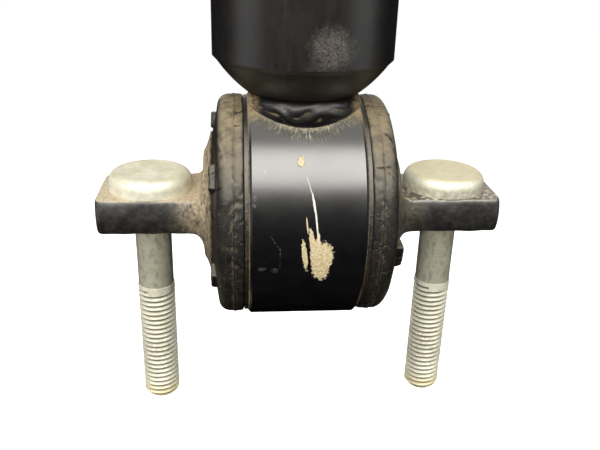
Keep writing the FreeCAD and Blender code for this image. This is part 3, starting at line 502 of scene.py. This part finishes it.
# %% [markdown]
# ## Zinc flake on the studs
#
# The studs carry a zinc-flake coat: aluminium and zinc scales in a grey binder, baked on. New it is silver
# grey, and outdoors it goes dull and creamy, so it is only partly metallic and rough. Dirt stays at the
# bottom of the thread, found by the distance from the stud's own axis, and the shank has rubbed grey marks.

# %% The studs' coat
STUD_AXIS, THREAD_CREST, THREAD_ROOT = 47.0, 6.0, 4.93
SHANK_END, STUD_END, HEAD_FOOT = -22.8, -66.0, 11.0
stud_coat, tree, shader, place = finish("zinc_flake_coat", "#d8d3bd", 0.58, Metallic=0.12)
spot = place.outputs["Object"]
x, _, z, _ = coordinates(tree, spot)
mirrored = add_node(tree, "ShaderNodeVectorMath", [(spot, 0)], operation="ABSOLUTE")
from_axis = add_node(tree, "ShaderNodeMapping", [(mirrored.outputs[0], "Vector")],
                     in_Location=(-STUD_AXIS * MM, 0, 0), in_Scale=(1, 1, 0))
radius = add_node(tree, "ShaderNodeVectorMath", [(from_axis.outputs[0], 0)], operation="LENGTH")
thread_roots = both(tree, fade(tree, radius.outputs["Value"], THREAD_CREST - 0.55, THREAD_ROOT + 0.05),
                    fade(tree, z, SHANK_END + 0.5, SHANK_END - 0.3))
# The whole shank is painted a darker grey than the thread; rubbed marks go on top of it.
shank = both(tree, fade(tree, z, SHANK_END - 0.3, SHANK_END + 0.7), fade(tree, z, 1, -1))
rubbed = patches(tree, spot, 1.5, 0.50, 0.64, stretch=(1, 1, 0.6))
worn_band = both(tree, fade(tree, z, -38, -44), fade(tree, z, -58, -52), patches(tree, spot, 1.0, 0.42, 0.62))
head_top = both(tree, settled(tree, place, 0.6, 0.95), fade(tree, z, HEAD_FOOT - 1, HEAD_FOOT + 3))
right_head = both(tree, fade(tree, x, 0, 10), fade(tree, z, HEAD_FOOT - 1, HEAD_FOOT))
# The lower side of the right stud's head is painted darker.
right_head_side_darkened = both(tree, right_head, fade(tree, z, HEAD_FOOT + 4.6, HEAD_FOOT + 1.5),
                  patches(tree, spot, 1.6, 0.30, 0.60))
colour = "#e2ddc8"
for coat, *masks in (("#cfcbb4", patches(tree, spot, 3.5, 0.35, 0.65)),
                     ("#bdb795", head_top, patches(tree, spot, 6, 0.30, 0.62), 0.8),
                     ("#cdbf88", head_top, right_head, 0.45), ("#8f8970", right_head_side_darkened, 0.6),
                     ("#8f8b76", shank, 0.75), ("#5b574e", shank, rubbed, 0.45),
                     ("#9c978a", worn_band, 0.5), ("#d8c88e", fade(tree, z, STUD_END + 7, STUD_END + 2), 0.6),
                     ("#4a4539", thread_roots, 0.8), ("#6e695a", patches(tree, spot, 0.5, 0.60, 0.66), 0.5)):
    colour = lay_over(tree, colour, coat, *masks)
tree.links.new(colour, shader.inputs["Base Color"])
fine_skin(tree, shader, spot, 0.6, 0.03, 3, after=fine_skin(tree, shader, spot, 4.5, 0.35, 2))
print("stud coat nodes:", len(tree.nodes))

# %% [markdown]
# ## Moulded rubber of the bushes
#
# Natural rubber filled with carbon black: rough and matt, grey-brown once it has weathered. Short ozone
# cracks run across the flange, a moulding line runs round it, and pale dust fills both. The pale film on the
# upper faces is partly dust and partly painted light, and its grey tint on the slopes is partly a painted
# sheen. The cracks are the cell borders of a stretched Voronoi pattern, kept only in patches. It is read on
# the unrolled flange, so that the cracks stay across the flange all the way round.

# %% The rubber of the bush
def weathered_rubber(name, centre, radius, dust_level, crack_size):
    """Cracked rubber on a flange round x, with dust and painted light on its upper faces and a painted sheen
    on its slopes; radius and crack_size in millimetres.
    """
    material, tree, shader, place = finish(name, "#2e2b27", 0.72, IOR=1.52, Specular_IOR_Level=0.17)
    spot = place.outputs["Object"]
    _, _, sheet = unroll(tree, place, centre, radius)
    leaned = add_node(tree, "ShaderNodeMapping", [(sheet, "Vector")], in_Rotation=(0, 0, math.radians(14)),
                      in_Scale=(0.40, 0.85, 1))
    wander = add_node(tree, "ShaderNodeTexNoise", [(sheet, "Vector")], in_Scale=every(2.5), in_Detail=3)
    warped = add_node(tree, "ShaderNodeVectorMath",
                      [(wander.outputs["Color"], 0), (leaned.outputs[0], 2)], operation="MULTIPLY_ADD",
                      in_1=(1.6 * MM, 1.6 * MM, 0))
    cells = add_node(tree, "ShaderNodeTexVoronoi", [(warped.outputs[0], "Vector")],
                     feature="DISTANCE_TO_EDGE", voronoi_dimensions="2D", in_Scale=every(crack_size))
    cracks = both(tree, ramp(tree, cells.outputs["Distance"], 0.040, 0.008),
                  patches(tree, sheet, 6, 0.50, 0.60))
    # Upward faces get a pale film: partly real dust, partly painted light that makes the top of the flange
    # lighter and leaves its lower side dark as painted shade.
    up = settled(tree, place, 0.22, 1.05)
    film = both(tree, either(tree, up, 0.03), patches(tree, spot, 3.2, 0.24, 0.58), dust_level)
    dust = either(tree, film, both(tree, patches(tree, spot, 0.7, 0.58, 0.70), 0.22))
    # The film is grey on the slopes and tan on the top; the grey is partly a painted sheen.
    colour = "#0e0c0b"
    for coat, *masks in (("#1b1815", patches(tree, spot, 4, 0.35, 0.7)),
                         (lay_over(tree, "#a39a86", "#a39270", up), dust),
                         ("#0d0c0b", cracks), ("#857558", concave(tree, 0.495, 0.46), 0.3)):
        colour = lay_over(tree, colour, coat, *masks)
    tree.links.new(colour, shader.inputs["Base Color"])
    tree.links.new(ramp(tree, dust, 0, 1, 0.50, 0.90), shader.inputs["Roughness"])
    bumps(tree, shader, cracks, -0.30, after=fine_skin(tree, shader, spot, 0.9, 0.10, 4))
    return material


lower_rubber = weathered_rubber("weathered_bush_rubber", eye, ring_radius, 1.0, 7.0)
lug_rubber = weathered_rubber("weathered_lug_rubber", eye, ring_radius, 0.35, 7.0)
upper_rubber = weathered_rubber("weathered_upper_bush_rubber", upper_eye, upper_radius, 0.5, 4.5)
print("rubbers:", lower_rubber.name, lug_rubber.name, upper_rubber.name)

# %% [markdown]
# ## Hard chrome on the rod
#
# The rod is ground, plated with hard chrome and polished along its turn, so it is nearly a mirror, with
# very fine lines round it. Those lines are closer than the render can show, so they are drawn 0.3 mm apart.

# %% The rod's chrome
rod_chrome, tree, shader, place = finish("hard_chrome_on_rod", "#c9cbcd", 0.09, Metallic=1.0)
polish = patches(tree, place.outputs["Object"], 0.3, 0.35, 0.65, stretch=(0.05, 0.05, 1))
tree.links.new(ramp(tree, polish, 0, 1, 0.05, 0.14), shader.inputs["Roughness"])
bumps(tree, shader, polish, 0.0004)
print("chrome nodes:", len(tree.nodes))

# %% [markdown]
# ## Zinc plate, bare steel and the small inner finishes
#
# The rest are plain engineering finishes. Each has a main colour, a second colour in grains or clouds, a
# roughness with some spread, and a fine bump, so one function makes them all. The grain is the real one in
# millimetres: sintered iron shows pores of about 0.4 mm, and foam shows cells of about 0.8 mm.

# %% Grained finishes
def grained(name, colour, second, grain, depth, rough_low, rough_high, stretch=(1, 1, 1), **settings):
    """A finish of two colours mixed by a grain in mm, with a bump of depth mm."""
    material, tree, shader, place = finish(name, colour, rough_low, **settings)
    spot = place.outputs["Object"]
    grains = patches(tree, spot, grain, 0.38, 0.62, stretch)
    clouds = patches(tree, spot, grain * 9, 0.3, 0.7)
    mixed = both(tree, either(tree, grains, 0.25), either(tree, clouds, 0.4))
    tree.links.new(lay_over(tree, colour, second, mixed), shader.inputs["Base Color"])
    tree.links.new(ramp(tree, mixed, 0, 1, rough_low, rough_high), shader.inputs["Roughness"])
    bumps(tree, shader, grains, depth)
    return material


METAL = {"Metallic": 1.0}
lip_steel = grained("rust_freckled_sleeve_steel", "#12110f", "#4d4230", 0.9, 0.04, 0.45, 0.8, Metallic=0.3)
bolt_sleeve_steel = grained("zinc_plated_sleeve_steel", "#b4b5b1", "#8d8b82", 0.8, 0.01, 0.28, 0.5, **METAL)
cap_zinc = grained("zinc_plated_cap", "#bdbcb4", "#9a937e", 1.2, 0.01, 0.25, 0.45, **METAL)
spring_steel = grained("blued_spring_steel", "#5b5d66", "#43454d", 1.0, 0.004, 0.2, 0.35, **METAL)
drawn_steel = grained("drawn_tube_steel", "#8b8b88", "#747470", 0.6, 0.006, 0.25, 0.4, (1, 1, 0.1), **METAL)
turned_steel = grained("turned_nut_steel", "#7f7f7d", "#5f5f5e", 0.5, 0.006, 0.3, 0.45, (1, 1, 3), **METAL)
sintered_iron = grained("sintered_iron", "#6e6c68", "#3f3d3a", 0.4, 0.03, 0.45, 0.7, **METAL)
bushing_bronze = grained("sintered_bronze", "#a8834f", "#7b5c33", 0.4, 0.02, 0.35, 0.55, **METAL)
seal_rubber = grained("nitrile_rubber", "#191918", "#262523", 0.5, 0.01, 0.5, 0.65)
band_plastic = grained("bronze_filled_ptfe", "#6a5136", "#4f3d2b", 0.35, 0.005, 0.45, 0.55)
stop_foam = grained("cellular_polyurethane_foam", "#c9b878", "#8f7f4c", 0.8, 0.25, 0.8, 0.95)
print("materials so far:", len(bpy.data.materials))

# %% [markdown]
# ## Dressing the pieces that keep their shape
#
# Most of the frame's pieces have the right shape already, so they only get a finish.

# %% Finishes of the frame's own pieces
DRESS = {
    ring_paint: ["eye_ring"],
    tube_paint: ["reservoir_tube"],
    cup_paint: ["base_cup"],
    cover_paint: ["dust_tube", "dust_cap"],
    small_eye_paint: ["upper_eye_ring"],
    weld_paint: ["eye_weld", "dust_cap_weld", "upper_eye_weld"],
    bar_paint: ["bar_pin"],
    stud_coat: ["lower_studs"],
    lower_rubber: ["rubber_bush"],
    upper_rubber: ["upper_rubber_bush"],
    rod_chrome: ["piston_rod"],
    lip_steel: ["bush_outer_sleeve"],
    bolt_sleeve_steel: ["upper_inner_sleeve"],
    cap_zinc: ["end_cap", "striker_cap"],
    spring_steel: ["base_valve_discs", "base_intake_disc", "piston_check_disc", "rebound_valve_discs"],
    drawn_steel: ["pressure_tube"],
    turned_steel: ["base_valve_pin", "piston_nut", "rebound_stop"],
    sintered_iron: ["base_valve_body", "rod_guide", "piston"],
    bushing_bronze: ["rod_guide_bushing"],
    seal_rubber: ["guide_seal_ring", "rod_seal", "rebound_bumper"],
    band_plastic: ["piston_band"],
    stop_foam: ["bump_stop"],
}
for material, names in DRESS.items():
    for name in names:
        nodes[name].data.materials.clear()
        nodes[name].data.materials.append(material)
undressed = [name for name, node in nodes.items() if len(node.data.materials) != 1
             or node.data.materials[0] not in DRESS]
print("dressed:", sum(len(names) for names in DRESS.values()), "without a finish:", undressed)

# %% [markdown]
# ## How the new pieces are modelled
#
# The worn and soft pieces need more than a drawing program's clean solid. Most are turned shapes: one
# vertex is extruded along the section, and the line is spun round an axis, as on a lathe. The spin leaves
# its first and last line on top of each other, so doubles are merged before the normals are turned out.
# After that, `sculpt` moves each vertex a little, as a sculpting brush would, for lumps, creases and dents.

# %% Modelling helpers
AXES = {"X": Vector((1, 0, 0)), "Y": Vector((0, 1, 0)), "Z": Vector((0, 0, 1))}
SIDES = {"X": AXES["Z"], "Z": AXES["X"]}


def pick_only(piece=None):
    """Leave edit mode and select this piece alone, or nothing."""
    if bpy.context.mode != "OBJECT":
        bpy.ops.object.mode_set(mode="OBJECT")
    bpy.ops.object.select_all(action="DESELECT")
    if piece:
        piece.select_set(True)
        bpy.context.view_layer.objects.active = piece


def apply_place(piece):
    """Put the piece's place, turn and size into its mesh."""
    pick_only(piece)
    bpy.ops.object.transform_apply(location=True, rotation=True, scale=True)


print("axes to spin about:", ", ".join(AXES))


# %% Turned pieces
def spun(name, outline, centre, axis, steps):
    """A closed turned piece. The outline is (along, radius) in millimetres from the centre."""
    along, side = AXES[axis] * MM, SIDES[axis] * MM
    first = centre + outline[0][0] * along + outline[0][1] * side
    pick_only()
    bpy.ops.mesh.primitive_plane_add(size=MM, location=first)
    piece = bpy.context.active_object
    piece.name = name
    apply_place(piece)
    bpy.ops.object.mode_set(mode="EDIT")
    bpy.ops.mesh.select_mode(type="VERT")
    bpy.ops.mesh.select_all(action="SELECT")
    bpy.ops.mesh.merge(type="CENTER")
    for (a, r), (b, s) in zip(outline, outline[1:]):
        step = (b - a) * along + (s - r) * side
        bpy.ops.mesh.extrude_vertices_move(TRANSFORM_OT_translate={"value": step})
    bpy.ops.mesh.select_all(action="SELECT")
    bpy.ops.mesh.spin(steps=steps, angle=math.tau, center=centre, axis=AXES[axis])
    bpy.ops.mesh.select_all(action="SELECT")
    bpy.ops.mesh.remove_doubles(threshold=0.01 * MM)
    bpy.ops.mesh.normals_make_consistent(inside=False)
    bpy.ops.object.mode_set(mode="OBJECT")
    return piece


print("a spin of 320 steps turns by", 360 / 320, "degrees a step")


# %% Shaping and dressing
def sculpt(piece, move):
    """Move each vertex by move(place) millimetres, where place is its own place in millimetres."""
    for vertex in piece.data.vertices:
        vertex.co += move(vertex.co / MM) * MM
    piece.data.update()


def lump(place, size, depth):
    """A smooth random push of up to depth millimetres, with lumps of the given size."""
    return noise.noise(place / size) * depth


def apply_modifier(piece, kind, **settings):
    """Add a modifier with its settings and apply it."""
    modifier = piece.modifiers.new(kind.lower(), kind)
    for key, value in settings.items():
        setattr(modifier, key, value)
    bpy.ops.object.modifier_apply(modifier=modifier.name)


def close_up(points):
    """The outline with its first point again at the end, so that the spun skin closes."""
    return points + points[:1]


def both_ends(points):
    """An outline drawn for the right end, with its mirrored points for the left."""
    return close_up(points + [(-along, radius) for along, radius in reversed(points)])


def arc_points(along, radius, reach, start, end, count=8):
    """Points of an arc in an outline, its angles measured from the axis direction in degrees."""
    angles = [math.radians(start + (end - start) * step / count) for step in range(count + 1)]
    return [(along + reach * math.cos(angle), radius + reach * math.sin(angle)) for angle in angles]


def dress(piece, body, material, slot, *stands_for, smooth=38):
    """Shade the piece, give it its finish, hang it on its body's empty, and hide the frame's pieces it stands
    for.
    """
    pick_only(piece)
    bpy.ops.object.shade_smooth_by_angle(angle=math.radians(smooth))
    piece.data.materials.clear()
    piece.data.materials.append(material)
    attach(piece, body)
    if stands_for:
        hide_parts(*stands_for)
    print(piece.name, "faces:", len(piece.data.polygons))


print("lumps of 2.5 mm move a point by up to 0.25 mm, here by", round(lump(AXES["X"], 2.5, 0.25), 3))

# %% [markdown]
# ## The rubber bush
#
# The rubber is moulded into the ring and runs out into a thick flange on each side. Its rim is slightly
# crowned with a moulding line round it, its outer shoulder is round, and its face slopes to the collar of
# the bar pin. It could be taken from the frame's solid, but the moulding line and the age cracks need a
# finer mesh, so the whole section is drawn, spun round the bar pin, and then creased. The creases lie
# across the rim, a little slanted, at random places that are the same each time the script runs.

# %% Spin the bush
random.seed(11)
rubber_end = 27.0
core_radius = 29.2
bore_radius = 13.06
flange = ([(lip_half + 0.05, core_radius), (lip_half + 0.05, 33.0), (lip_half + 0.18, 33.7)]
          + arc_points(lip_half + 1.15, 33.45, 1.05, 165, 95, 4)
          + [(lip_half + 2.2, 34.55), (lip_half + 2.75, 34.56), (lip_half + 2.9, 34.74),
             (lip_half + 3.1, 34.74), (lip_half + 3.25, 34.52), (lip_half + 3.9, 34.5)]
          + arc_points(lip_half + 4.4, 30.9, 3.55, 88, 8, 10)
          + [(lip_half + 8.15, 29.8), (lip_half + 8.45, 28.0), (lip_half + 8.75, 26.0),
             (lip_half + 9.05, 24.2), (rubber_end + 0.25, 23.6), (rubber_end + 0.35, 23.2),
             (rubber_end, 22.6), (rubber_end, 18.0), (rubber_end, bore_radius)])
bush = spun("bush_rubber", both_ends(flange), eye, "X", 320)
print("bush as spun, faces:", len(bush.data.polygons))

# %% Crease the bush
CREASES_A_SIDE, CREASE_WIDTH, FLANGE_RADIUS = 26, 0.55, 34
creases = []
for side in (-1, 1):
    for count in range(CREASES_A_SIDE):
        angle = math.tau * (count + random.uniform(-0.35, 0.35)) / CREASES_A_SIDE
        lean, along = random.uniform(-0.10, 0.10), random.uniform(19.0, 22.0)
        reach, depth = random.uniform(2.0, 4.0), random.uniform(0.15, 0.45)
        creases.append((side, angle, lean, along, reach, depth))


def age_rubber(place):
    """Creases across each flange, and a slow unevenness all over the visible rubber."""
    local = place - eye / MM
    out = Vector((0, local.y, local.z))
    if abs(local.x) < lip_half + 0.6 or out.length < 22:
        return Vector()
    push = lump(place, 6.0, 0.22) + lump(place, 1.8, 0.07)
    angle = math.atan2(local.z, -local.y)
    for side, at, lean, along, reach, depth in creases:
        if side * local.x < 0:
            continue
        away = (angle - at - lean * (abs(local.x) - along) + math.pi) % math.tau - math.pi
        across = away * FLANGE_RADIUS / CREASE_WIDTH
        length = (abs(local.x) - along) / reach
        if abs(across) < 3 and abs(length) < 1.6:
            push -= depth * math.exp(-across * across) * math.exp(-length ** 4)
    return out.normalized() * push


sculpt(bush, age_rubber)
dress(bush, "cylinder", lower_rubber, "bush_rubber", "rubber_bush", smooth=60)

# %% [markdown]
# ## Stop lugs on the bush
#
# Short blocks of the same rubber stand round the collar on both end faces and stop the bar pin's sideways
# travel. One is made from a cube: scaled to size, its outer end drawn in, and its edges rounded. The others
# are copies, each with its own mesh, turned about the bar pin.

# %% Model one lug
LUG_WIDTH, LUG_HEIGHT, LUG_LENGTH, LUG_MIDDLE = 8.0, 5.6, 3.6, 26.1
pick_only()
bpy.ops.mesh.primitive_cube_add(size=1, location=(0, 0, 0))
lug = bpy.context.active_object
lug.scale = (LUG_LENGTH * MM, LUG_WIDTH * MM, LUG_HEIGHT * MM)
apply_place(lug)
bpy.ops.object.mode_set(mode="EDIT")
bpy.ops.mesh.select_mode(type="FACE")
bpy.ops.mesh.select_all(action="DESELECT")
bpy.ops.object.mode_set(mode="OBJECT")
for face in lug.data.polygons:
    face.select = face.normal.x > 0.9
bpy.ops.object.mode_set(mode="EDIT")
bpy.ops.transform.resize(value=(1, 0.88, 0.84))
bpy.ops.mesh.select_all(action="SELECT")
bpy.ops.mesh.subdivide(number_cuts=7)
bpy.ops.object.mode_set(mode="OBJECT")
apply_modifier(lug, "BEVEL", width=0.7 * MM, segments=3, limit_method="ANGLE")
print("one lug:", len(lug.data.polygons), "faces")

# %% Copy the lug
# A side is its sign and name, the angle of its first lug, how far out its lugs stand, and their number.
LUG_SIDES = ((1, "right", 14, 26.9, 3), (-1, "left", 36, 26.1, 5))
for side, side_name, first, at, lugs in LUG_SIDES:
    for count in range(lugs):
        copy = lug.copy()
        copy.data = lug.data.copy()
        copy.name = f"stop_lug_{side_name}_{count + 1}"
        bpy.context.scene.collection.objects.link(copy)
        angle = math.radians(first + 360 / lugs * count)
        inward = Matrix.Rotation(math.pi if side < 0 else 0, 4, "Z")
        lifted = Matrix.Translation((side * at * MM, 0, -LUG_MIDDLE * MM))
        copy.matrix_world = (Matrix.Translation(eye) @ Matrix.Rotation(angle - math.pi / 2, 4, "X")
                             @ lifted @ inward)
        apply_place(copy)
        sculpt(copy, lambda place: Vector((
            lump(place, 2.5, 0.25), lump(place + AXES["Y"] * 9, 2.5, 0.3),
            lump(place + AXES["Z"] * 9, 2.5, 0.3))))
        dress(copy, "cylinder", lug_rubber, "bush_rubber", smooth=60)
bpy.data.objects.remove(lug)

# %% [markdown]
# ## Weld beads
#
# A weld bead is a ring of metal that froze in overlapping folds. A torus is a good start, because it
# already goes round the joint; each of its vertices is then moved, so that the bead fills the wedge
# between the two parts and its face shows slanted folds and a few lumps. The big bead sits astride the eye
# ring, so its foot follows a saddle: high at the ring's crown and lower in front and behind.

# %% Weld bead helper
def weld_bead(name, centre, foot, top_radius, top, thickness, fold, slices, limit=None):
    """A bead round z. foot(angle) gives the foot's radius and height; top_radius and top its upper line."""
    pick_only()
    bpy.ops.mesh.primitive_torus_add(major_radius=top_radius * MM, minor_radius=thickness * MM,
                                     major_segments=slices, minor_segments=28, location=centre)
    bead = bpy.context.active_object
    bead.name = name
    apply_place(bead)
    middle_line = centre / MM

    def fill_wedge(place):
        local = place - middle_line
        angle = math.atan2(local.y, local.x)
        section = math.atan2(local.z, math.hypot(local.x, local.y) - top_radius)
        foot_radius, foot_height = foot(angle)
        up = (math.sin(section) + 1) / 2
        radius = foot_radius + (top_radius - foot_radius) * up + thickness * math.cos(section)
        height = foot_height + (top - foot_height) * up
        spot = Vector((math.cos(angle), math.sin(angle), 0)) * foot_radius / fold
        drift = noise.noise(spot * 0.6)
        folds = math.sin(11 * up + 2.0 * angle + 7 * drift) ** 3
        ripple = noise.noise(Vector((spot.x, spot.y, up * 3)) * 1.4)
        rough = (0.20 * folds + 0.22 * ripple + 0.30 * drift) * min(1, thickness / 1.6)
        radius += max(0.0, math.cos(section)) * rough
        moved = Vector((math.cos(angle) * radius, math.sin(angle) * radius, height))
        if limit:
            moved.x = max(-limit, min(limit, moved.x))
        return moved - local

    sculpt(bead, fill_wedge)
    return bead


# %% The big bead
cup_neck, weld_foot, weld_limit, weld_top = 17.0, 18.3, 16.25, 36.9


def on_eye_ring(angle):
    """The foot of the big bead: a point of the ring's skin under this angle."""
    return weld_foot, math.sqrt(ring_radius ** 2 - (weld_foot * math.sin(angle)) ** 2) - 0.5


eye_bead = weld_bead("eye_weld_bead", eye, on_eye_ring, cup_neck, weld_top, 1.7, 4.5, 260, weld_limit)
dress(eye_bead, "cylinder", weld_paint, "weld_paint", "eye_weld", smooth=70)

# %% The two beads on the rod's end
stub_radius = half("piston_rod").x
upper_foot = 11.6


def on_upper_ring(angle):
    """The foot of the upper bead on the small ring, measured down from that ring's centre."""
    return upper_foot, -math.sqrt(upper_radius ** 2 - (upper_foot * math.sin(angle)) ** 2) + 0.4


stub_top = (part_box("upper_eye_weld")[0].z - upper_eye.z) / MM
upper_bead = weld_bead("upper_eye_weld_bead", upper_eye, on_upper_ring, stub_radius + 0.4, stub_top,
                       1.0, 2.8, 160)
dress(upper_bead, "rod", weld_paint, "weld_paint", "upper_eye_weld", smooth=70)

cap_low, cap_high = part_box("dust_cap_weld")
cap_foot = half("dust_cap_weld").x
cap_bead = weld_bead("dust_cap_weld_bead", Vector((0, 0, cap_low.z)), lambda angle: (cap_foot - 0.9, 0.1),
                     stub_radius + 0.5, (cap_high.z - cap_low.z) / MM, 0.9, 2.6, 160)
dress(cap_bead, "rod", weld_paint, "weld_paint", "dust_cap_weld", smooth=70)

# %% [markdown]
# ## The bar pin as a forging
#
# A forging has no sharp edges, and its faces are a little uneven. The frame's solid has the true shape, so
# it is the best start: its loose triangles are copied and merged, a voxel remesh turns them into an even
# skin, smoothing rolls every edge over, and a slow noise gives the faces their hammered look. The skin is
# then thinned, because flat faces don't need so many small ones.

# %% Copy, remesh and soften the bar pin
forging = nodes["bar_pin"].copy()
forging.data = nodes["bar_pin"].data.copy()
forging.name = "forged_bar_pin"
forging.parent = None
forging.matrix_world = Matrix.Identity(4)
bpy.context.scene.collection.objects.link(forging)
pick_only(forging)
bpy.ops.object.mode_set(mode="EDIT")
bpy.ops.mesh.select_all(action="SELECT")
bpy.ops.mesh.remove_doubles(threshold=0.01 * MM)
bpy.ops.object.mode_set(mode="OBJECT")
apply_modifier(forging, "REMESH", mode="VOXEL", voxel_size=0.5 * MM)
apply_modifier(forging, "SMOOTH", factor=0.5, iterations=14)
BUSH_SIDE, COLLAR_FOOT, COLLAR_DRAW = 27.9, 17.0, 5.8


def hammer(place):
    """Uneven faces of a forging outside the bush, and a collar drawn out to a thin rim."""
    if abs(place.x) < BUSH_SIDE:
        return Vector()
    out = math.hypot(place.y, place.z - eye.z / MM)
    drawn = max(0.0, min(1.0, (out - COLLAR_FOOT) / COLLAR_DRAW))
    thinner = -math.copysign((abs(place.x) - BUSH_SIDE) * drawn, place.x)
    return Vector((thinner, lump(place, 5, 0.25), lump(place + AXES["X"] * 40, 5, 0.22)))


sculpt(forging, hammer)
apply_modifier(forging, "DECIMATE", ratio=0.6)
dress(forging, "bar_pin", bar_paint, "bar_pin_paint", "bar_pin", smooth=60)

# %% [markdown]
# ## The upper bush, the bump stop and the dust cover
#
# These are the same kinds of shape. The upper bush has a small flange each side of its ring. The bump stop
# is a foam spring with rounded waists, so that it folds evenly. The dust cover is a thin pressed tube: its
# lower rim is rolled outwards for stiffness, and a bead is pressed in below its cap.

# %% Spin the upper bush
sleeve_radius = half("upper_inner_sleeve").z
rubber_low, rubber_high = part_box("upper_rubber_bush")
upper_end = (rubber_high.x - rubber_low.x) / 2 / MM
ring_bore = 16.0
top_flange = ([(upper_half - 1.0, ring_bore - 0.02), (upper_half + 0.05, ring_bore - 0.02),
               (upper_half + 0.08, 17.6)]
              + arc_points(upper_half + 0.75, 17.85, 0.65, 165, 95, 3)
              + arc_points(upper_end - 1.35, 17.15, 1.35, 88, 4, 6)
              + [(upper_end - 0.1, 14.0), (upper_end - 0.6, 11.5), (upper_end - 0.3, 10.2),
                 (upper_end - 0.3, sleeve_radius + 0.05)])
upper_bush = spun("upper_bush_rubber", both_ends(top_flange), upper_eye, "X", 144)
sculpt(upper_bush, lambda place: Vector((0, lump(place, 4, 0.12), lump(place + AXES["X"] * 30, 4, 0.12))))
dress(upper_bush, "rod", upper_rubber, "bush_rubber", "upper_rubber_bush", smooth=60)

# %% Spin the bump stop
stop_low, stop_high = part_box("bump_stop")
stop_length = (stop_high.z - stop_low.z) / MM
stop_bore = stub_radius + 0.3
stop_section = [(0.3, stop_bore), (0.0, stop_bore + 0.6), (0.0, 11.4)] + [
    (0.6 + (stop_length - 1.2) * step / 40,
     12.6 + 8.2 * (step / 40) ** 0.7 + 1.2 * math.cos(math.tau * 2.5 * step / 40 + math.pi))
    for step in range(41)] + [(stop_length - 0.1, 20.0), (stop_length - 0.1, stop_bore + 0.4),
                              (stop_length - 0.5, stop_bore)]
bump = spun("foam_bump_stop", close_up(stop_section), Vector((0, 0, stop_low.z)), "Z", 96)
dress(bump, "rod", stop_foam, "bump_foam", "bump_stop", smooth=60)

# %% Spin the dust cover
cover_low, cover_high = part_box("dust_tube")
cover_length = (cover_high.z - cover_low.z) / MM
cover_out = half("dust_tube").x
cover_in = cover_out - 1.2
RIM_TOP, BEAD_DROP, BEAD_WIDTH, BEAD_RISE = 6.0, 22, 4, 0.7
BEAD_STEPS, WALL_STEPS = 10, 30
bead_low = cover_length - BEAD_DROP
wall_top = bead_low + 2 * BEAD_WIDTH


def pressed_bead(radius):
    """The bead below the cap, as points of a wall with this radius."""
    shares = [step / BEAD_STEPS for step in range(BEAD_STEPS + 1)]
    return [(bead_low + BEAD_WIDTH * share, radius + BEAD_RISE * math.sin(math.pi * share))
            for share in shares]


outside = ([(0.9, cover_in)] + arc_points(1.0, cover_in + 0.95, 0.95, 200, 100, 5)
           + arc_points(1.6, cover_out - 0.35, 0.85, 110, 40, 4) + [(3.4, cover_out)]
           + [(RIM_TOP + (bead_low - RIM_TOP) * step / WALL_STEPS, cover_out) for step in range(WALL_STEPS)]
           + pressed_bead(cover_out)
           + [(wall_top, cover_out), (cover_length - 1.0, cover_out),
              (cover_length - 0.3, cover_out - 0.3), (cover_length, cover_out - 0.8),
              (cover_length, cover_in)])
inside = [(wall_top, cover_in)] + pressed_bead(cover_in)[::-1] + [(RIM_TOP, cover_in), (3.0, cover_in)]
cover = spun("pressed_dust_cover", close_up(outside + inside), Vector((0, 0, cover_low.z)), "Z", 160)


def dented(place):
    """A thin pressed tube is never quite round: slow dents of a few tenths."""
    out = Vector((place.x, place.y, 0)).normalized()
    return out * (lump(place, 28, 0.45) + lump(place, 9, 0.10))


sculpt(cover, dented)
dress(cover, "rod", cover_paint, "dust_paint", "dust_tube", smooth=40)
